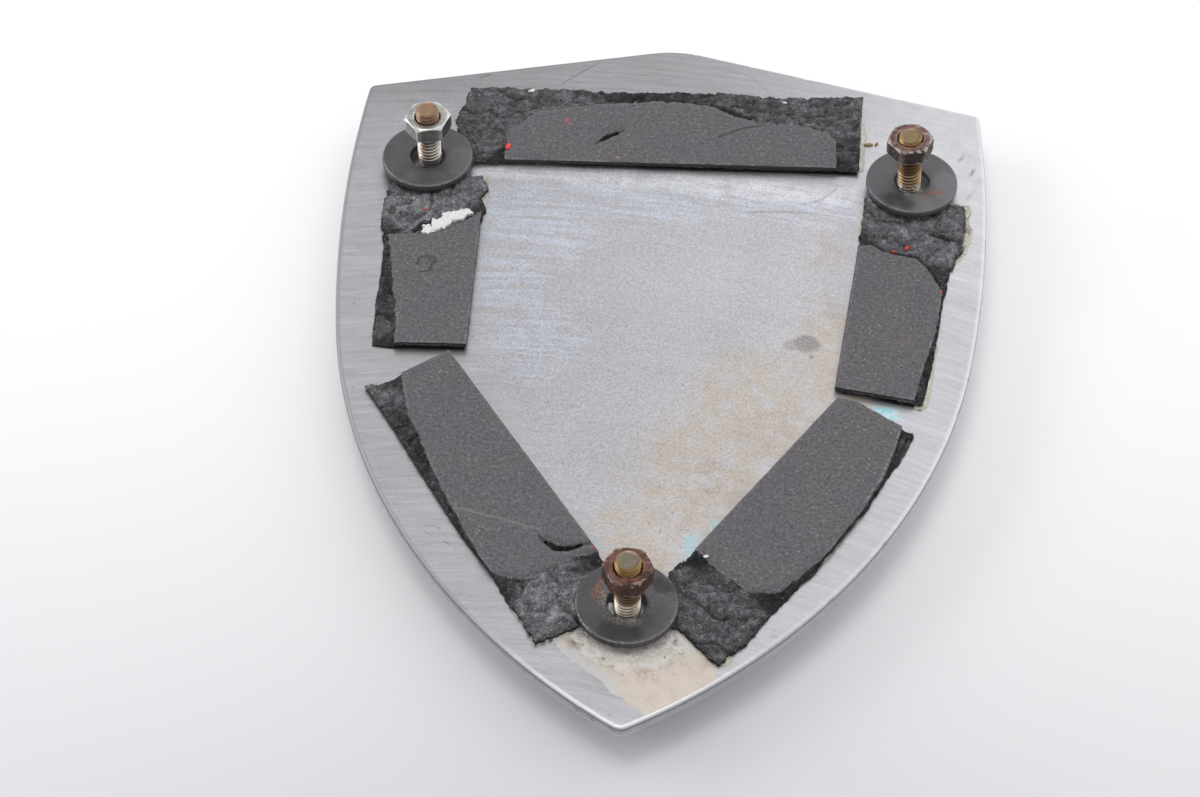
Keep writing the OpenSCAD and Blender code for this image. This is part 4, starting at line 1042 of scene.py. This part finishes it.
# in part mm; after a point how ragged the side after it is, and after a slit how wide it gapes
strips = {
    "top": {
        "at": (-2.4, 50.6), "turn": 2.1, "seed": 3, "shade": -0.22,
        "foam": [(-34.7, 58.6, 0.3), (-29.6, 58.8, 0.35), (-19.6, 59.1, 0.35), (-8.1, 59.4, 0.4),
            (4.8, 60.3, 0.4), (12, 60.2, 0.4), (16.3, 59.7, 0.4), (23.4, 60.3, 0.3), (32.2, 61, 0.08),
            (31.8, 42.6, 0.02), (-27.1, 40.4, 0.1), (-33, 40, 0.4), (-35.3, 47, 0.5), (-36.9, 50.7, 0.5),
            (-35.3, 53.9, 0.4)],
        "face": [(-27.1, 40.5, 0.05), (-27.1, 42.2, 0.25), (-26.8, 47.7, 0.35), (-23, 52.6, 0.4),
            (-15.2, 55, 0.45), (-7.2, 56.3, 0.45), (2.1, 57, 0.4), (6.8, 56.3, 0.2), (9.7, 54.3, 0.2),
            (13.3, 53.4, 0.3), (14.7, 52.6, 0.3), (21.5, 52.9, 0.3), (26.4, 51.5, 0.2), (27.8, 49.3, 0.1),
            (28.1, 42.6, 0.02)],
        "slits": [([(-12.4, 45.2), (-10.4, 47.4), (-7.9, 49.1)], 0.42),
            ([(6.8, 56.5), (8.9, 55.7), (10.8, 54.5), (13.3, 54)], 0.6)],
        "creases": [[(-29.4, 42.9), (-27.9, 45.5), (-26.7, 47.7)],
            [(8.2, 48.3), (11.7, 50.6), (16.5, 52.2)]],
        "margin": [[(31, 43), (32.5, 43.3), (32.9, 46), (32.7, 49), (33.1, 52), (32.6, 55), (31, 55)]]},
    "left": {
        "at": (-39.4, 38.9), "turn": 2.1, "seed": 5, "shade": 0.12,
        "foam": [(-44.9, 36.3, 0.4), (-30.3, 37.3, 0.3), (-29.3, 34, 0.3), (-29.9, 32, 0.3),
            (-29, 30, 0.25), (-29.6, 26, 0.04), (-29, -1.4, 0.02), (-40.2, -1.9, 0.1), (-43.9, -1.7, 0.1),
            (-44.4, 7.5, 0.12), (-44.5, 14.6, 0.15), (-44.8, 20.3, 0.25), (-45.6, 24.2, 0.3),
            (-46.2, 29.1, 0.35), (-45.7, 33.7, 0.35)],
        "face": [(-44.3, 22, 0.2), (-39.6, 22.3, 0.25), (-36.8, 22.6, 0.3), (-33.9, 25, 0.3),
            (-31.1, 26.9, 0.2), (-29.7, 28.3, 0.03), (-29, -1.3, 0.02), (-40.2, -1.8, 0.25),
            (-40.9, 4.8, 0.25), (-42.3, 11.3, 0.2), (-43, 16.5, 0.2)],
        "slits": [([(-40.3, 23.2), (-38.8, 24.8), (-37, 25.5)], 0.5)],
        "creases": [[(-38.7, 15.1), (-38.5, 16.6), (-37, 17.2), (-36, 16.8), (-35.7, 16.1), (-36.4, 15.1),
            (-36.6, 13.9), (-38.2, 13.5)], [(-37.4, 17.2), (-36.6, 16), (-35.7, 16.1)]],
        "margin": [[(-31, 37.6), (-29.7, 37.4), (-29.2, 35.8), (-29.2, 33.6), (-29, 32.2), (-29.6, 31),
            (-31, 31)]]},
    "right": {
        "at": (39.4, 38.9), "turn": -7.5, "seed": 7, "shade": -0.02,
        "foam": [(33.1, 36.4, 0.3), (43.1, 36.2, 0.3), (49.2, 35.8, 0.25), (49.3, 30.5, 0.3),
            (48.7, 26.1, 0.35), (46.6, 20.4, 0.25), (45.3, 11.2, 0.12), (43.9, 0.3, 0.1),
            (42.3, -8.2, 0.06), (28.7, -6.1, 0.03), (32, 25.2, 0.25), (32.4, 30.6, 0.3)],
        "face": [(32.1, 24.9, 0.1), (34.3, 25.2, 0.25), (36, 24, 0.2), (37.6, 23.8, 0.25),
            (41.3, 23.2, 0.2), (43.1, 21, 0.15), (44.6, 17.6, 0.1), (45.3, 15.4, 0.12), (44.8, 9.6, 0.15),
            (43.9, 5.1, 0.15), (42.5, -0.8, 0.12), (40.9, -7.8, 0.03), (28.8, -6, 0.02)],
        "slits": [([(34.3, 25.4), (36, 24.1), (37.6, 23.8), (41.3, 23.2), (43.1, 21), (44.6, 17.6)], 0.34),
            ([(43.7, 28.8), (46, 28.2), (48.3, 27.4)], 0.3)],
        "creases": [],
        "margin": [[(47, 37), (50.1, 36.7), (50.6, 35.4), (49.9, 33), (50.6, 31.2), (50.4, 28.2),
            (49.2, 24.9), (47.5, 22.7), (46, 20)], [(44, 6), (44.8, 5), (44.7, 3.6), (44.1, -0.7),
            (43.7, -4.6), (43, -8.3), (41, -8.5), (42, 0)], [(33.5, 35), (32.5, 34.4), (32.4, 32),
            (31.9, 29.4), (32.1, 27.4), (33, 27)]]},
    "low_left": {
        "at": (0, -51.1), "turn": 33.8, "seed": 11, "shade": 0.05,
        "foam": [(-43.8, -10.6, 0.3), (-42, -10.4, 0.35), (-39.6, -8.7, 0.25), (-38.4, -8, 0.03),
            (-31.6, -2.7, 0.02), (-5.2, -40.7, 0.15), (-4.2, -42, 0.3), (-7.3, -54.2, 0.4),
            (-13.2, -57.7, 0.4), (-14.5, -54.8, 0.3), (-17.5, -51, 0.25), (-20.1, -46.3, 0.06),
            (-25.7, -38.8, 0.05), (-32, -29, 0.05), (-38.8, -18.1, 0.06)],
        "face": [(-38.4, -8.1, 0.08), (-36.4, -16.1, 0.2), (-33.4, -22.4, 0.2), (-29.2, -31.2, 0.12),
            (-25.7, -37.6, 0.15), (-21.2, -45.2, 0.3), (-17.9, -46.8, 0.25), (-14.2, -46.5, 0.3),
            (-9.4, -42.6, 0.3), (-5.3, -40.7, 0.02), (-31.6, -2.8, 0.02)],
        "slits": [([(-14.2, -38.6), (-12.8, -39.8), (-11.7, -40.4), (-10.1, -40.6), (-8.8, -40.2),
            (-6.4, -39.3)], 0.5)],
        "creases": [], "scratch": [(-27.7, -34.2), (-24.4, -34.9), (-19.5, -36.1), (-14, -37.6)],
        "margin": []},
    "low_right": {
        "at": (0, -51.1), "turn": -32.7, "seed": 13, "shade": -0.22,
        "pale": [(39.7, -16), (38.7, -19.6)],
        "foam": [(29.2, -8, 0.04), (32.4, -8.5, 0.15), (39.2, -13, 0.3), (41, -13.9, 0.35),
            (40.2, -16.5, 0.3), (38.5, -20.3, 0.25), (36.6, -23.6, 0.15), (34.2, -28.9, 0.15),
            (31.2, -33.6, 0.15), (26.9, -41, 0.2), (20.9, -49.1, 0.3), (16.3, -56.1, 0.4),
            (13.3, -59.2, 0.4), (9, -55.3, 0.4), (6.5, -53, 0.4), (5.3, -43.2, 0.3), (8.8, -39.1, 0.02)],
        "face": [(29.2, -8.1, 0.04), (32.3, -8.6, 0.1), (39.1, -13.2, 0.1), (38.1, -17.9, 0.1),
            (36.2, -24.1, 0.12), (33.6, -29.4, 0.15), (30, -35.9, 0.15), (27.1, -40, 0.2),
            (21.7, -46.2, 0.25), (17.3, -46.6, 0.25), (13.3, -43.6, 0.3), (10.4, -40.7, 0.2),
            (8.9, -39.3, 0.02)],
        "slits": [([(39.8, -15.4), (38.3, -19.8), (37.5, -23)], 0.3)], "creases": [],
        "scratch": [(38.9, -14.6), (37.95, -17.9), (36, -23.9), (33.6, -28.8)],
        "margin": [[(13, -57), (15, -57.6), (15.4, -58.4), (14, -59.2)]]},
}


def titled(name):
    return "".join(word.capitalize() for word in name.split("_"))


def intoStrip(spec, points):
    # from part millimetres into the strip's own frame, which lies along it
    points = np.array(points, float)
    points[:, :2] -= spec["at"]
    return turned(points, (0, 0), -spec["turn"])


def clearOfStuds(away, x, y, studs, keep):
    for sx, sy in studs:
        away = np.maximum(away, keep - np.hypot(x - sx, y - sy))
    return away


def stripShapes(spec):
    # signed outlines of the foam, its face and its adhesive, and the distances to slits and creases
    seed = spec["seed"]
    studs = intoStrip(spec, [f["at"] for f in fasteners.values()])
    foamLine, faceLine = intoStrip(spec, spec["foam"]), intoStrip(spec, spec["face"])

    def torn(points, x, y, salt, fineSize):
        away, rough = outlineDistance(x, y, points)
        coarse, fine = lumpy(x, y, 2.6, seed + salt, 3), lumpy(x, y, fineSize, seed + salt + 1, 2)
        return away + rough * (1.1 * coarse + 0.9 * fine)

    def foamOutline(x, y):
        return clearOfStuds(torn(foamLine, x, y, 0, 0.8), x, y, studs, stripForm["studKeep"])

    def nearest(x, y, lines):
        # distance to the nearest of some lines, each given with how wide it gapes
        best = np.full(x.shape, 9.0)
        for points, width in lines:
            d, along = lineDistance(x, y, intoStrip(spec, points))
            wide = width * np.sin(math.pi * np.clip(along, 0.1, 0.9)) * (1 + 0.5 * lumpy(x, y, 0.7, seed, 2))
            best = np.minimum(best, d - wide)
        return best

    def cut(x, y):
        return nearest(x, y, spec["slits"])

    def fold(x, y):
        return nearest(x, y, [(points, 0) for points in spec["creases"]])

    def faceOutline(x, y):
        away = torn(faceLine, x, y, 40, 0.9)
        return np.maximum(np.maximum(away, foamOutline(x, y) + 0.03), -cut(x, y))

    def bondOutline(x, y):
        away, rough = outlineDistance(x, y, foamLine)
        away = away + 0.12 + 0.5 * lumpy(x, y, 3.2, seed + 90, 3) + 0.9 * smooth(0.16, 0.06, rough)
        for part in spec["margin"]:
            beyond = outlineDistance(x, y, intoStrip(spec, part))[0]
            away = np.minimum(away, beyond + 0.25 * lumpy(x, y, 1.0, seed + 95, 3))
        return clearOfStuds(away, x, y, studs, stripForm["studKeep"] - 0.2)

    return foamLine, faceLine, foamOutline, faceOutline, bondOutline, cut, fold


def makeStrip(name, spec):
    form, seed, title = stripForm, spec["seed"], titled(name)
    foamLine, faceLine, foamOutline, faceOutline, bondOutline, cut, fold = stripShapes(spec)
    (west, south), (east, north) = foamLine[:, :2].min(0) - 1.5, foamLine[:, :2].max(0) + 1.5
    spread = (west, east, south, north)

    def layer(piece, node, look, sheet, sharp, tags):
        verts = turned(sheet[0], spec["at"], spec["turn"])
        return finishMesh(piece + title, verts, sheet[1], look, node + name, sharp, tags)

    def near(x, y, line, far, close):
        # 1 close to a line of the strip's table, and 0 all over where it has none
        if line not in spec:
            return np.zeros(x.shape)
        return smooth(far, close, lineDistance(x, y, intoStrip(spec, spec[line]))[0])

    def deepBand(x, y, inward):
        # narrow bands beside the face lie low and get painted shade
        away = faceOutline(x, y)
        return smooth(5.2, 2.6, away + inward) * (away > 0)

    def foamTop(x, y, inward):
        lumps, grains = lumpy(x, y, 3.1, seed + 60, 3), lumpy(x, y, 0.8, seed + 61, 3)
        crease = smooth(0.16, 0.0, np.abs(lumpy(x, y, 4.6, seed + 62, 2)))
        rise = form["bondTop"] + 0.80 + 0.32 * lumps + 0.36 * grains - 0.34 * crease
        under = faceOutline(x, y)
        rise = rise + 0.15 * smooth(1.2, 0.1, under)  # the foam stands up where the face has torn off it
        ragged = outlineDistance(x, y, foamLine)[1]
        rise = rise - 1.4 * np.clip(ragged, 0, 0.35) * smooth(0.7, 0.0, inward) * (0.7 + 0.6 * lumps)
        rise = rise - 0.5 * smooth(0.35, 0.0, cut(x, y)) - 0.3 * deepBand(x, y, inward)
        covered = form["foamTop"] - 0.2 * smooth(-0.3, 0.05, under) * (0.5 - grains)
        rise = np.where(under < 0.05, covered, rise)
        return np.clip(rise, form["bondTop"] + 0.12, form["underWasher"])

    verts, faces, inward = sheetShape(spread, form["foamCell"], foamOutline, foamTop, form["bondTop"] - 0.02)
    x, y, z = verts.T.copy()
    # lift: painted shade by height, the low foam darker, with the strip's own shade and its pale spots
    lift = np.clip((z - form["bondTop"]) / 1.1, 0, 1) + spec["shade"] + 1.3 * near(x, y, "pale", 1.1, 0.3)
    # the cut sides lean in towards the metal
    low = np.arange(len(verts)) >= len(verts) // 2
    gx, gy = slopeOf(foamOutline, x, y, 0.1)
    push = 0.62 * np.exp(-inward / 0.8) * smooth(0.16, 0.06, outlineDistance(x, y, foamLine)[1]) * low
    push = push / np.maximum(np.hypot(gx, gy), 0.1)
    x, y = x - gx * push, y - gy * push
    foam = layer("tornFoam", "foam_", "torn", (np.c_[x, y, z], faces), 55, {
        "edge": inward, "lift": lift, "deep": deepBand(x, y, inward), "slit": smooth(0.3, 0.0, cut(x, y))})

    def faceTop(x, y, inward):
        wave = 0.035 * lumpy(x, y, 9, seed + 80, 2) + 0.015 * lumpy(x, y, 1.3, seed + 81, 2)
        ragged = outlineDistance(x, y, faceLine)[1]
        worn = 0.13 * smooth(0.28, 0.0, inward) + 1.1 * np.clip(ragged, 0, 0.3) * smooth(1.1, 0.0, inward)
        groove = 0.22 * smooth(0.28, 0.0, fold(x, y)) - 0.05 * smooth(0.9, 0.3, fold(x, y))
        return form["faceTop"] - 0.05 + np.minimum(wave - worn - groove, 0.05)

    sheet = sheetShape(spread, form["faceCell"], faceOutline, faceTop, form["foamTop"] - 0.25)
    x, y, _ = sheet[0].T
    # painted shade in the slits and along the creases
    slit = np.maximum(smooth(0.28, 0.05, cut(x, y)), 0.8 * smooth(0.3, 0.05, fold(x, y)))
    face = layer("foamFace", "face_", "face", sheet, 50, {
        "edge": sheet[2], "slit": slit, "scratch": near(x, y, "scratch", 0.17, 0.03)})

    def bondTop(x, y, inward):
        return form["margin"] + 0.1 * smooth(0.0, 0.5, inward) * (0.7 + 0.3 * lumpy(x, y, 1.0, seed + 91, 3))

    sheet = sheetShape(spread, form["bondCell"], bondOutline, bondTop, form["bondFoot"])
    layer("tapeAdhesive", "bond_", "bond", sheet, 50, {"crust": smooth(0.1, 0.4, sheet[2])})


for name, spec in strips.items():
    makeStrip(name, spec)
    print("strip", name, "ready")

# dried patch at the tip, and what sticks to the tape

patchOutline = [(-11.6, -55.4), (-10.1, -57.2), (-8.1, -59.8), (-5.6, -61.3), (-3.5, -62.8), (-2, -64.3),
    (-0.2, -65.8), (2, -67.3), (4.3, -69.5), (10, -67), (13.4, -63.5), (13.3, -60), (11.8, -58), (7.3, -53),
    (6, -51), (-6.5, -51.8)]


patchForm = {"spread": (-13, 14.5, -70, -50), "cell": 0.25, "foot": 7.98, "highest": 0.3, "studKeep": 2.1,
             "crust": [(-6.5, -55.6), (-4, -57.4), (0, -58.6), (4.5, -57.6), (9, -54.5)],
             "brown": [(-9, -57, 2.6, 1.8), (-3.4, -63.4, 1.7, 1.8), (-6, -60.4, 1.4, 1.2),
                       (3, -61.6, 2.2, 1.4)]}


def makePatch(form):
    tipLimit = [p for p in shieldRim(0.6).tolist() if p[1] < -40]

    def outline(x, y):
        away = outlineDistance(x, y, patchOutline)[0] + 0.7 * lumpy(x, y, 2.2, 101, 4)
        away = np.maximum(away, outlineDistance(x, y, tipLimit)[0])
        return clearOfStuds(away, x, y, [fasteners["lower"]["at"]], form["studKeep"])

    def crust(x, y):
        band = lineDistance(x, y, form["crust"])[0]
        return smooth(3.2, 1.2, band + 1.3 * lumpy(x, y, 1.8, 103, 3))

    def top(x, y, inward):
        rise = 0.025 + 0.04 * (lumpy(x, y, 1.6, 105, 4) + 0.6)
        rise = rise + 0.20 * crust(x, y) * np.clip(0.5 + lumpy(x, y, 0.8, 107, 3), 0, 1)
        return shieldForm["back"] + np.clip(rise, 0.02, form["highest"]) * smooth(0.0, 0.35, inward)

    verts, faces, inward = sheetShape(form["spread"], form["cell"], outline, top, form["foot"])
    x, y = verts[:, 0], verts[:, 1]
    finishMesh("driedPatch", verts, faces, "residue", "tip_residue", 60, {
        "crust": crust(x, y), "brown": blotch(x, y, form["brown"], 0.6),
        "faint": smooth(2.6, 0.3, inward) * smooth(3.5, -0.5, x - y * 0.2 - 11) * smooth(-54, -57, y)})


makePatch(patchForm)

# (x, y, z of its underside, length, width, thickness, turn)
flecks = {
    "red": [(-26.8, 43.5, 9.52, 1.5, 0.9, 0.14, 70), (-17.5, 50.6, 9.5, 0.9, 0.5, 0.08, 20),
        (-16.9, 49.8, 9.5, 0.5, 0.4, 0.08, 0), (-38.9, 28.2, 9, 0.55, 0.4, 0.2, 10),
        (37.6, 24, 9.2, 0.5, 0.35, 0.2, 0), (39.8, 25.1, 9.1, 0.9, 0.6, 0.3, 40),
        (45.2, 15.7, 9.2, 0.6, 0.5, 0.2, 30), (-6.2, -40.2, 9.3, 0.6, 0.35, 0.25, 10)],
    "tan": [(-8.3, 42.2, 9.5, 0.6, 0.5, 0.1, 0), (-7.2, 42.9, 9.5, 0.4, 0.3, 0.08, 0),
        (33.4, 49.9, 7.98, 1.7, 0.6, 0.4, 10), (34.7, 50.2, 7.98, 0.9, 0.5, 0.35, 50)],
    "white": [(-2.8, -50.7, 8.9, 0.9, 1.9, 0.5, 8), (-2.5, -51.9, 8.9, 0.8, 1.1, 0.4, -20),
        (10.6, -40.7, 9.5, 0.9, 0.5, 0.1, 20), (-24.1, 57.9, 9, 1.4, 0.7, 0.25, 10),
        (19, 58.2, 9, 0.8, 0.4, 0.15, -5)],
}


def makeFlecks(name, spots, corners=12):
    verts, faces = [], []
    a = np.linspace(0, 2 * math.pi, corners, endpoint=False)
    for k, (x, y, z, length, width, thick, turn) in enumerate(spots):
        start = len(verts)
        for share, rise in ((1.0, 0.0), (0.97, 0.55), (0.72, 0.95), (0.35, 1.0)):
            r = share * (1 + 0.25 * lumpy(np.cos(a) * 1.4 + k, np.sin(a) * 1.4, 0.7, 120 + k, 2))
            across, along = r * np.cos(a) * length / 2, r * np.sin(a) * width / 2
            ring = np.c_[across, along, np.full(corners, z + thick * rise)]
            verts += turned(ring, (x, y), turn).tolist()
        faces += ringFaces(4, corners, start)
        faces += [list(range(start, start + corners))[::-1], list(range(len(verts) - corners, len(verts)))]
    finishMesh(name + "Flecks", verts, faces, name, None, 60)


for name, spots in flecks.items():
    makeFlecks(name, spots)

blobOutline = [(-39.2, 22.7), (-38.6, 23.9), (-37.5, 24.2), (-37.3, 25.7), (-35.6, 27.1), (-33.2, 27.5),
    (-32.3, 28.7), (-31, 28.3), (-31.2, 26.8), (-33, 25.9), (-34.9, 24.4), (-36.5, 22.9), (-38, 22.5)]


blobForm = {"spread": (-41, -29, 20, 31), "cell": 0.16, "foot": 8.9, "level": 9.58}


def makeBlob(form):
    def outline(x, y):
        ragged = 0.35 * lumpy(x, y, 1.6, 131, 2) + 0.62 * lumpy(x, y, 0.55, 137, 2)
        return outlineDistance(x, y, blobOutline)[0] + ragged

    def top(x, y, inward):
        return form["level"] + 0.10 * lumpy(x, y, 0.9, 133, 3) - 0.15 * smooth(0.3, 0.0, inward)

    verts, faces, _ = sheetShape(form["spread"], form["cell"], outline, top, form["foot"])
    finishMesh("whiteCrust", verts, faces, "white", None, 60)


makeBlob(blobForm)
print("patch, flecks and crust ready")

crumbForm = {"density": 2.2e6, "smallest": 0.05, "largest": 0.17, "above": 8.4,
             "tags": {"edge": 2.0, "lift": 0.75, "deep": 0.0, "slit": 0.0}}


def crumbGrowth(given):
    # loose crumbs of foam, thickest near the torn edges
    k, seed = given["Density"], given["Seed"]
    weight = k.put("GeometryNodeInputNamedAttribute", {"Name": "loose"}, {"data_type": "FLOAT"})
    points = k.put("GeometryNodeDistributePointsOnFaces", {"Mesh": given["Geometry"], "Density": k * weight,
                                                           "Seed": seed}, {"distribute_method": "RANDOM"})
    ball = k.put("GeometryNodeMeshIcoSphere", {"Radius": 1.0, "Subdivisions": 1})
    dents = k.put("ShaderNodeTexNoise", {"Scale": 1.7, "Detail": 2.0}, output=1).shift((-0.5, -0.5, -0.5))
    rough = k.put("GeometryNodeSetPosition", {"Geometry": ball, "Offset": dents})
    scale = k.put("FunctionNodeRandomValue", {2: given["Smallest"], 3: given["Largest"], "Seed": seed},
                  {"data_type": "FLOAT"}, output=1)
    turn = k.put("FunctionNodeRandomValue", {0: (0, 0, 0), 1: (6.28, 6.28, 6.28), "Seed": seed},
                 {"data_type": "FLOAT_VECTOR"})
    copies = k.put("GeometryNodeInstanceOnPoints", {"Points": points, "Instance": rough, "Rotation": turn,
                                                    "Scale": scale})
    return copies, given["Foam"]


foamCrumbs = growingTree("foamCrumbs", {"Geometry": "Geometry", "Density": "Float", "Smallest": "Float",
                                        "Largest": "Float", "Seed": "Int", "Foam": "Material"}, crumbGrowth)


def makeCrumbs(name, spec, form=crumbForm):
    mesh = bpy.data.objects["tornFoam" + titled(name)].data.copy()
    edge = np.array([a.value for a in mesh.attributes["edge"].data])
    co = np.array([v.co for v in mesh.vertices]) / mm
    own = intoStrip(spec, co[:, :2])
    bare = smooth(0.0, 0.6, stripShapes(spec)[3](own[:, 0], own[:, 1]))
    setTag(mesh, "loose", bare * (0.35 + 0.65 * smooth(1.2, 0.1, edge)) * (co[:, 2] > form["above"]))
    grown = grownMesh("grownCrumbs", mesh, foamCrumbs, {
        "Density": form["density"], "Smallest": form["smallest"] * mm, "Largest": form["largest"] * mm,
        "Seed": spec["seed"], "Foam": finishes["torn"]})
    for tag, value in form["tags"].items():
        setTag(grown, tag, value)
    crumbs = placed("crumbs" + titled(name), grown)
    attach(crumbs, "shield")
    print("crumbs on", name, len(grown.polygons))


for name, spec in strips.items():
    makeCrumbs(name, spec)

# floor, lights and world

stageForm = {
    "floor": (-4, 4, -4, 6), "floorBack": (0.94, 0.935, 0.945), "floorFront": (0.545, 0.536, 0.56),
    "front": 0.60, "back": 1.10, "left": 0.84, "right": 1.20, "gap": (-0.32, 0.74, 0.60), "gapLevel": 0.5,
    "gapNear": 0.10, "gapFar": 0.46, "tint": (0.985, 0.985, 1.0, 1),
    "lamps": {  # place, width, height, watts; all aim at the origin
        "left": ((-1.15, 0.25, 0.62), 0.9, 0.45, 4.6), "right": ((1.15, 0.35, 0.62), 0.9, 0.45, 0.5),
        "overhead": ((-0.15, 0.05, 1.30), 0.6, 0.5, 3.4)},
}


def makeStage(form):
    west, east, south, north = form["floor"]
    mesh = bpy.data.meshes.new("floor")
    corners = [(west, south, 0), (east, south, 0), (east, north, 0), (west, north, 0)]
    mesh.from_pydata(corners, [], [(0, 1, 2, 3)])
    floor = placed("floor", mesh)
    # painted shade and shadow: the paper darkens towards the front, most in front of the part
    paper = Finish("palePaper", Roughness=0.9, Specular_IOR_Level=0.1)
    away = paper.at.part(1).fade(50, -170) * abs(paper.at.part(0)).fade(15, 100, 1.12, 0.90)
    paper.feed(Base_Color=paper.even(form["floorBack"]).over((form["floorFront"], away)))
    mesh.materials.append(paper.material)

    # a light tent: brighter behind, with one dim gap that the metal mirrors on its left
    scene.world = bpy.data.worlds.new("studio")
    scene.world.use_nodes = True
    tree = scene.world.node_tree
    way = Knot(tree, tree.nodes.new("ShaderNodeTexCoord").outputs["Generated"])
    level = way.part(1).fade(-0.4, 0.7, form["front"], form["back"])
    level = level * way.part(0).fade(-0.5, 0.5, form["left"], form["right"])
    level = level * way.apart(form["gap"]).fade(form["gapNear"], form["gapFar"], form["gapLevel"], 1.0)
    tree.nodes["Background"].inputs[0].default_value = form["tint"]
    tree.links.new(level.out, tree.nodes["Background"].inputs[1])
    for name, (at, wide, tall, power) in form["lamps"].items():
        data = bpy.data.lights.new(name, "AREA")
        data.shape, data.size, data.size_y, data.energy = "RECTANGLE", wide, tall, power
        aimed(name, data, Vector(at), Vector((0, 0, 0)))


makeStage(stageForm)
print("stage ready")
